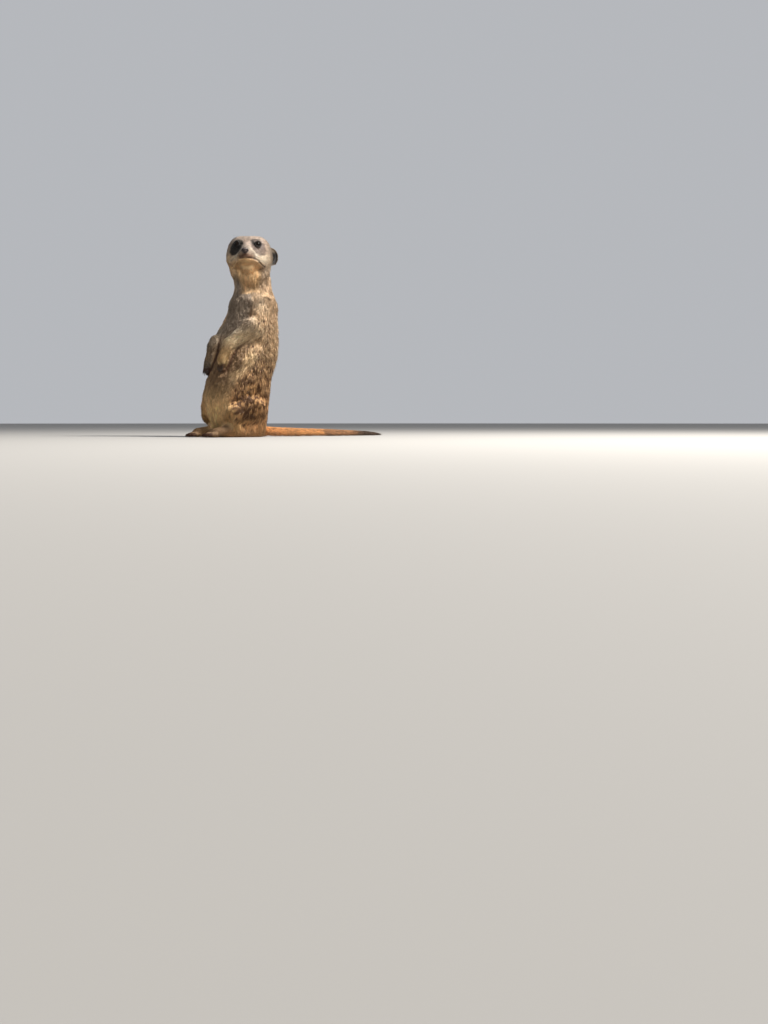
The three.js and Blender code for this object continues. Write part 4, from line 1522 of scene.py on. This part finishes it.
# The hide reads the markings darkened by its spread, as painted shade under the fur.
hide = coat_material("hide", 0.75, HIDE_GRAIN, HIDE_SHADE_SPREAD, bump=HIDE_BUMP)
hair_finish = coat_material("hair", 0.55, HAIR_GRAIN, HAIR_SPREAD, **SHEEN)
print("finishes:", hide.name, "and", hair_finish.name)

# %% [markdown]
# The eye is dark brown, with a pupil that lies level, streaks that run out from it and a black
# rim, all under a clear wet coat. The pattern is drawn from the place that each point kept from
# the gaze. The nose is damp and pebbled like fine leather, and the claws are dark horn that is
# streaked along its length.

# %% Eye, nose and horn
IRIS_DARK, IRIS_WARM = (0.004, 0.003, 0.002, 1), (0.017, 0.008, 0.005, 1)
NOSE_COLOURS = (0.014, 0.008, 0.007, 1), (0.055, 0.034, 0.030, 1)
HORN_COLOURS = (0.020, 0.013, 0.010, 1), (0.120, 0.085, 0.060, 1)


EYE_GLOSS = {
    "Specular IOR Level": 0.0,
    "Coat Weight": 0.8,
    "Coat Roughness": 0.03,
    "Coat IOR": 1.34,
}
NOSE_GLOSS = {"Coat Weight": 0.35, "Coat Roughness": 0.22}
NOSE_CELLS, NOSE_BUMP = 1500, 0.00012
HORN_GRAIN, HORN_STRETCH, HORN_BUMP = 900, (1.0, 0.25, 0.5), 0.00006


def two_colours(tree, shader, factor, one, other):
    """Colours the shader between two colours, as far as the factor says."""
    blend = node(tree, "Mix", data_type="RGBA")
    for socket, colour in (("A", one), ("B", other)):
        [s for s in blend.inputs if s.name == socket and s.type == "RGBA"][0].default_value = colour
    tree.links.new(factor, [s for s in blend.inputs if s.name == "Factor" and s.type == "VALUE"][0])
    mixed = [s for s in blend.outputs if s.type == "RGBA"][0]
    tree.links.new(mixed, shader.inputs["Base Color"])


def from_gaze(tree, kept, wide, high, start, end):
    """0 to 1 between two distances from the gaze, in an oval of this size."""
    oval = times(tree, kept, (1 / wide, 1 / high, 0))
    length = node(tree, "VectorMath", oval, operation="LENGTH").outputs["Value"]
    return node(tree, "MapRange", length, **{"From Min": start, "From Max": end}).outputs["Result"]


def make_eye_finish():
    material, tree, shader = new_material("eye_clear", 0.12, **EYE_GLOSS)
    kept = node(tree, "Attribute", attribute_name="iris").outputs["Vector"]
    past_pupil = from_gaze(tree, kept, PUPIL_WIDE, PUPIL_HIGH, 0.9, 1.15)
    inside_rim = from_gaze(tree, kept, IRIS, IRIS, 1.0, 0.75)
    iris = node(tree, "Math", past_pupil, inside_rim, operation="MULTIPLY").outputs["Value"]
    direction = node(tree, "VectorMath", kept, operation="NORMALIZE").outputs["Vector"]
    streaks = node(tree, "TexNoise", direction, Scale=3.0, Detail=4.0).outputs["Fac"]
    patterned = node(tree, "Math", iris, streaks, operation="MULTIPLY").outputs["Value"]
    two_colours(tree, shader, patterned, IRIS_DARK, IRIS_WARM)
    return material


def make_nose_finish():
    material, tree, shader = new_material("nose_leather", 0.42, **NOSE_GLOSS)
    places = node(tree, "TexCoord").outputs["Object"]
    cells = node(tree, "TexVoronoi", places, feature="DISTANCE_TO_EDGE", Scale=NOSE_CELLS)
    raised = node(tree, "MapRange", cells.outputs["Distance"], **{"From Max": 0.25}).outputs["Result"]
    bumped(tree, shader, raised, NOSE_BUMP)
    two_colours(tree, shader, raised, *NOSE_COLOURS)
    return material


def make_horn_finish():
    material, tree, shader = new_material("horn", 0.38)
    streaks = grain(tree, HORN_GRAIN, stretched=HORN_STRETCH)
    two_colours(tree, shader, streaks, *HORN_COLOURS)
    bumped(tree, shader, streaks, HORN_BUMP)
    return material


FINISHES = {"eye": make_eye_finish(), "nose": make_nose_finish(), "claw": make_horn_finish()}
print("finishes:", sorted(FINISHES))

# %% [markdown]
# ## Handing over
# Every piece is told its finish and the body that it rides on, and the solid parts that it stands
# for, if any, are hidden.

# %% Pieces to the frame
SLOTS = {"ears": "ear", "head": "head_coat", "trunk": "coat", "limbs": "coat", "tail": "tail_coat"}


def hand_over(piece, finish, slot, *nodes):
    piece.data.materials.clear()
    piece.data.materials.append(finish)
    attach(piece, "root")
    if nodes:
        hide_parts(*nodes)


hand_over(skin, hide, "coat", *FLESH)
for group, pieces in coat.items():
    for piece in pieces:
        hand_over(piece, hair_finish, SLOTS[group])
hand_over(whiskers, hair_finish, "head_coat")
for word, _ in SIDES:
    hand_over(eyes[word], FINISHES["eye"], "eye", "eye_" + word)
hand_over(nose, FINISHES["nose"], "nose", "nose")
for claw_node, claw in claws.items():
    hand_over(claw, FINISHES["claw"], "claw", claw_node)
print("coat triangles:", sum(len(p.data.polygons) for pieces in coat.values() for p in pieces))
print("skin triangles:", len(skin.data.polygons))

# %% The end
print("the end")
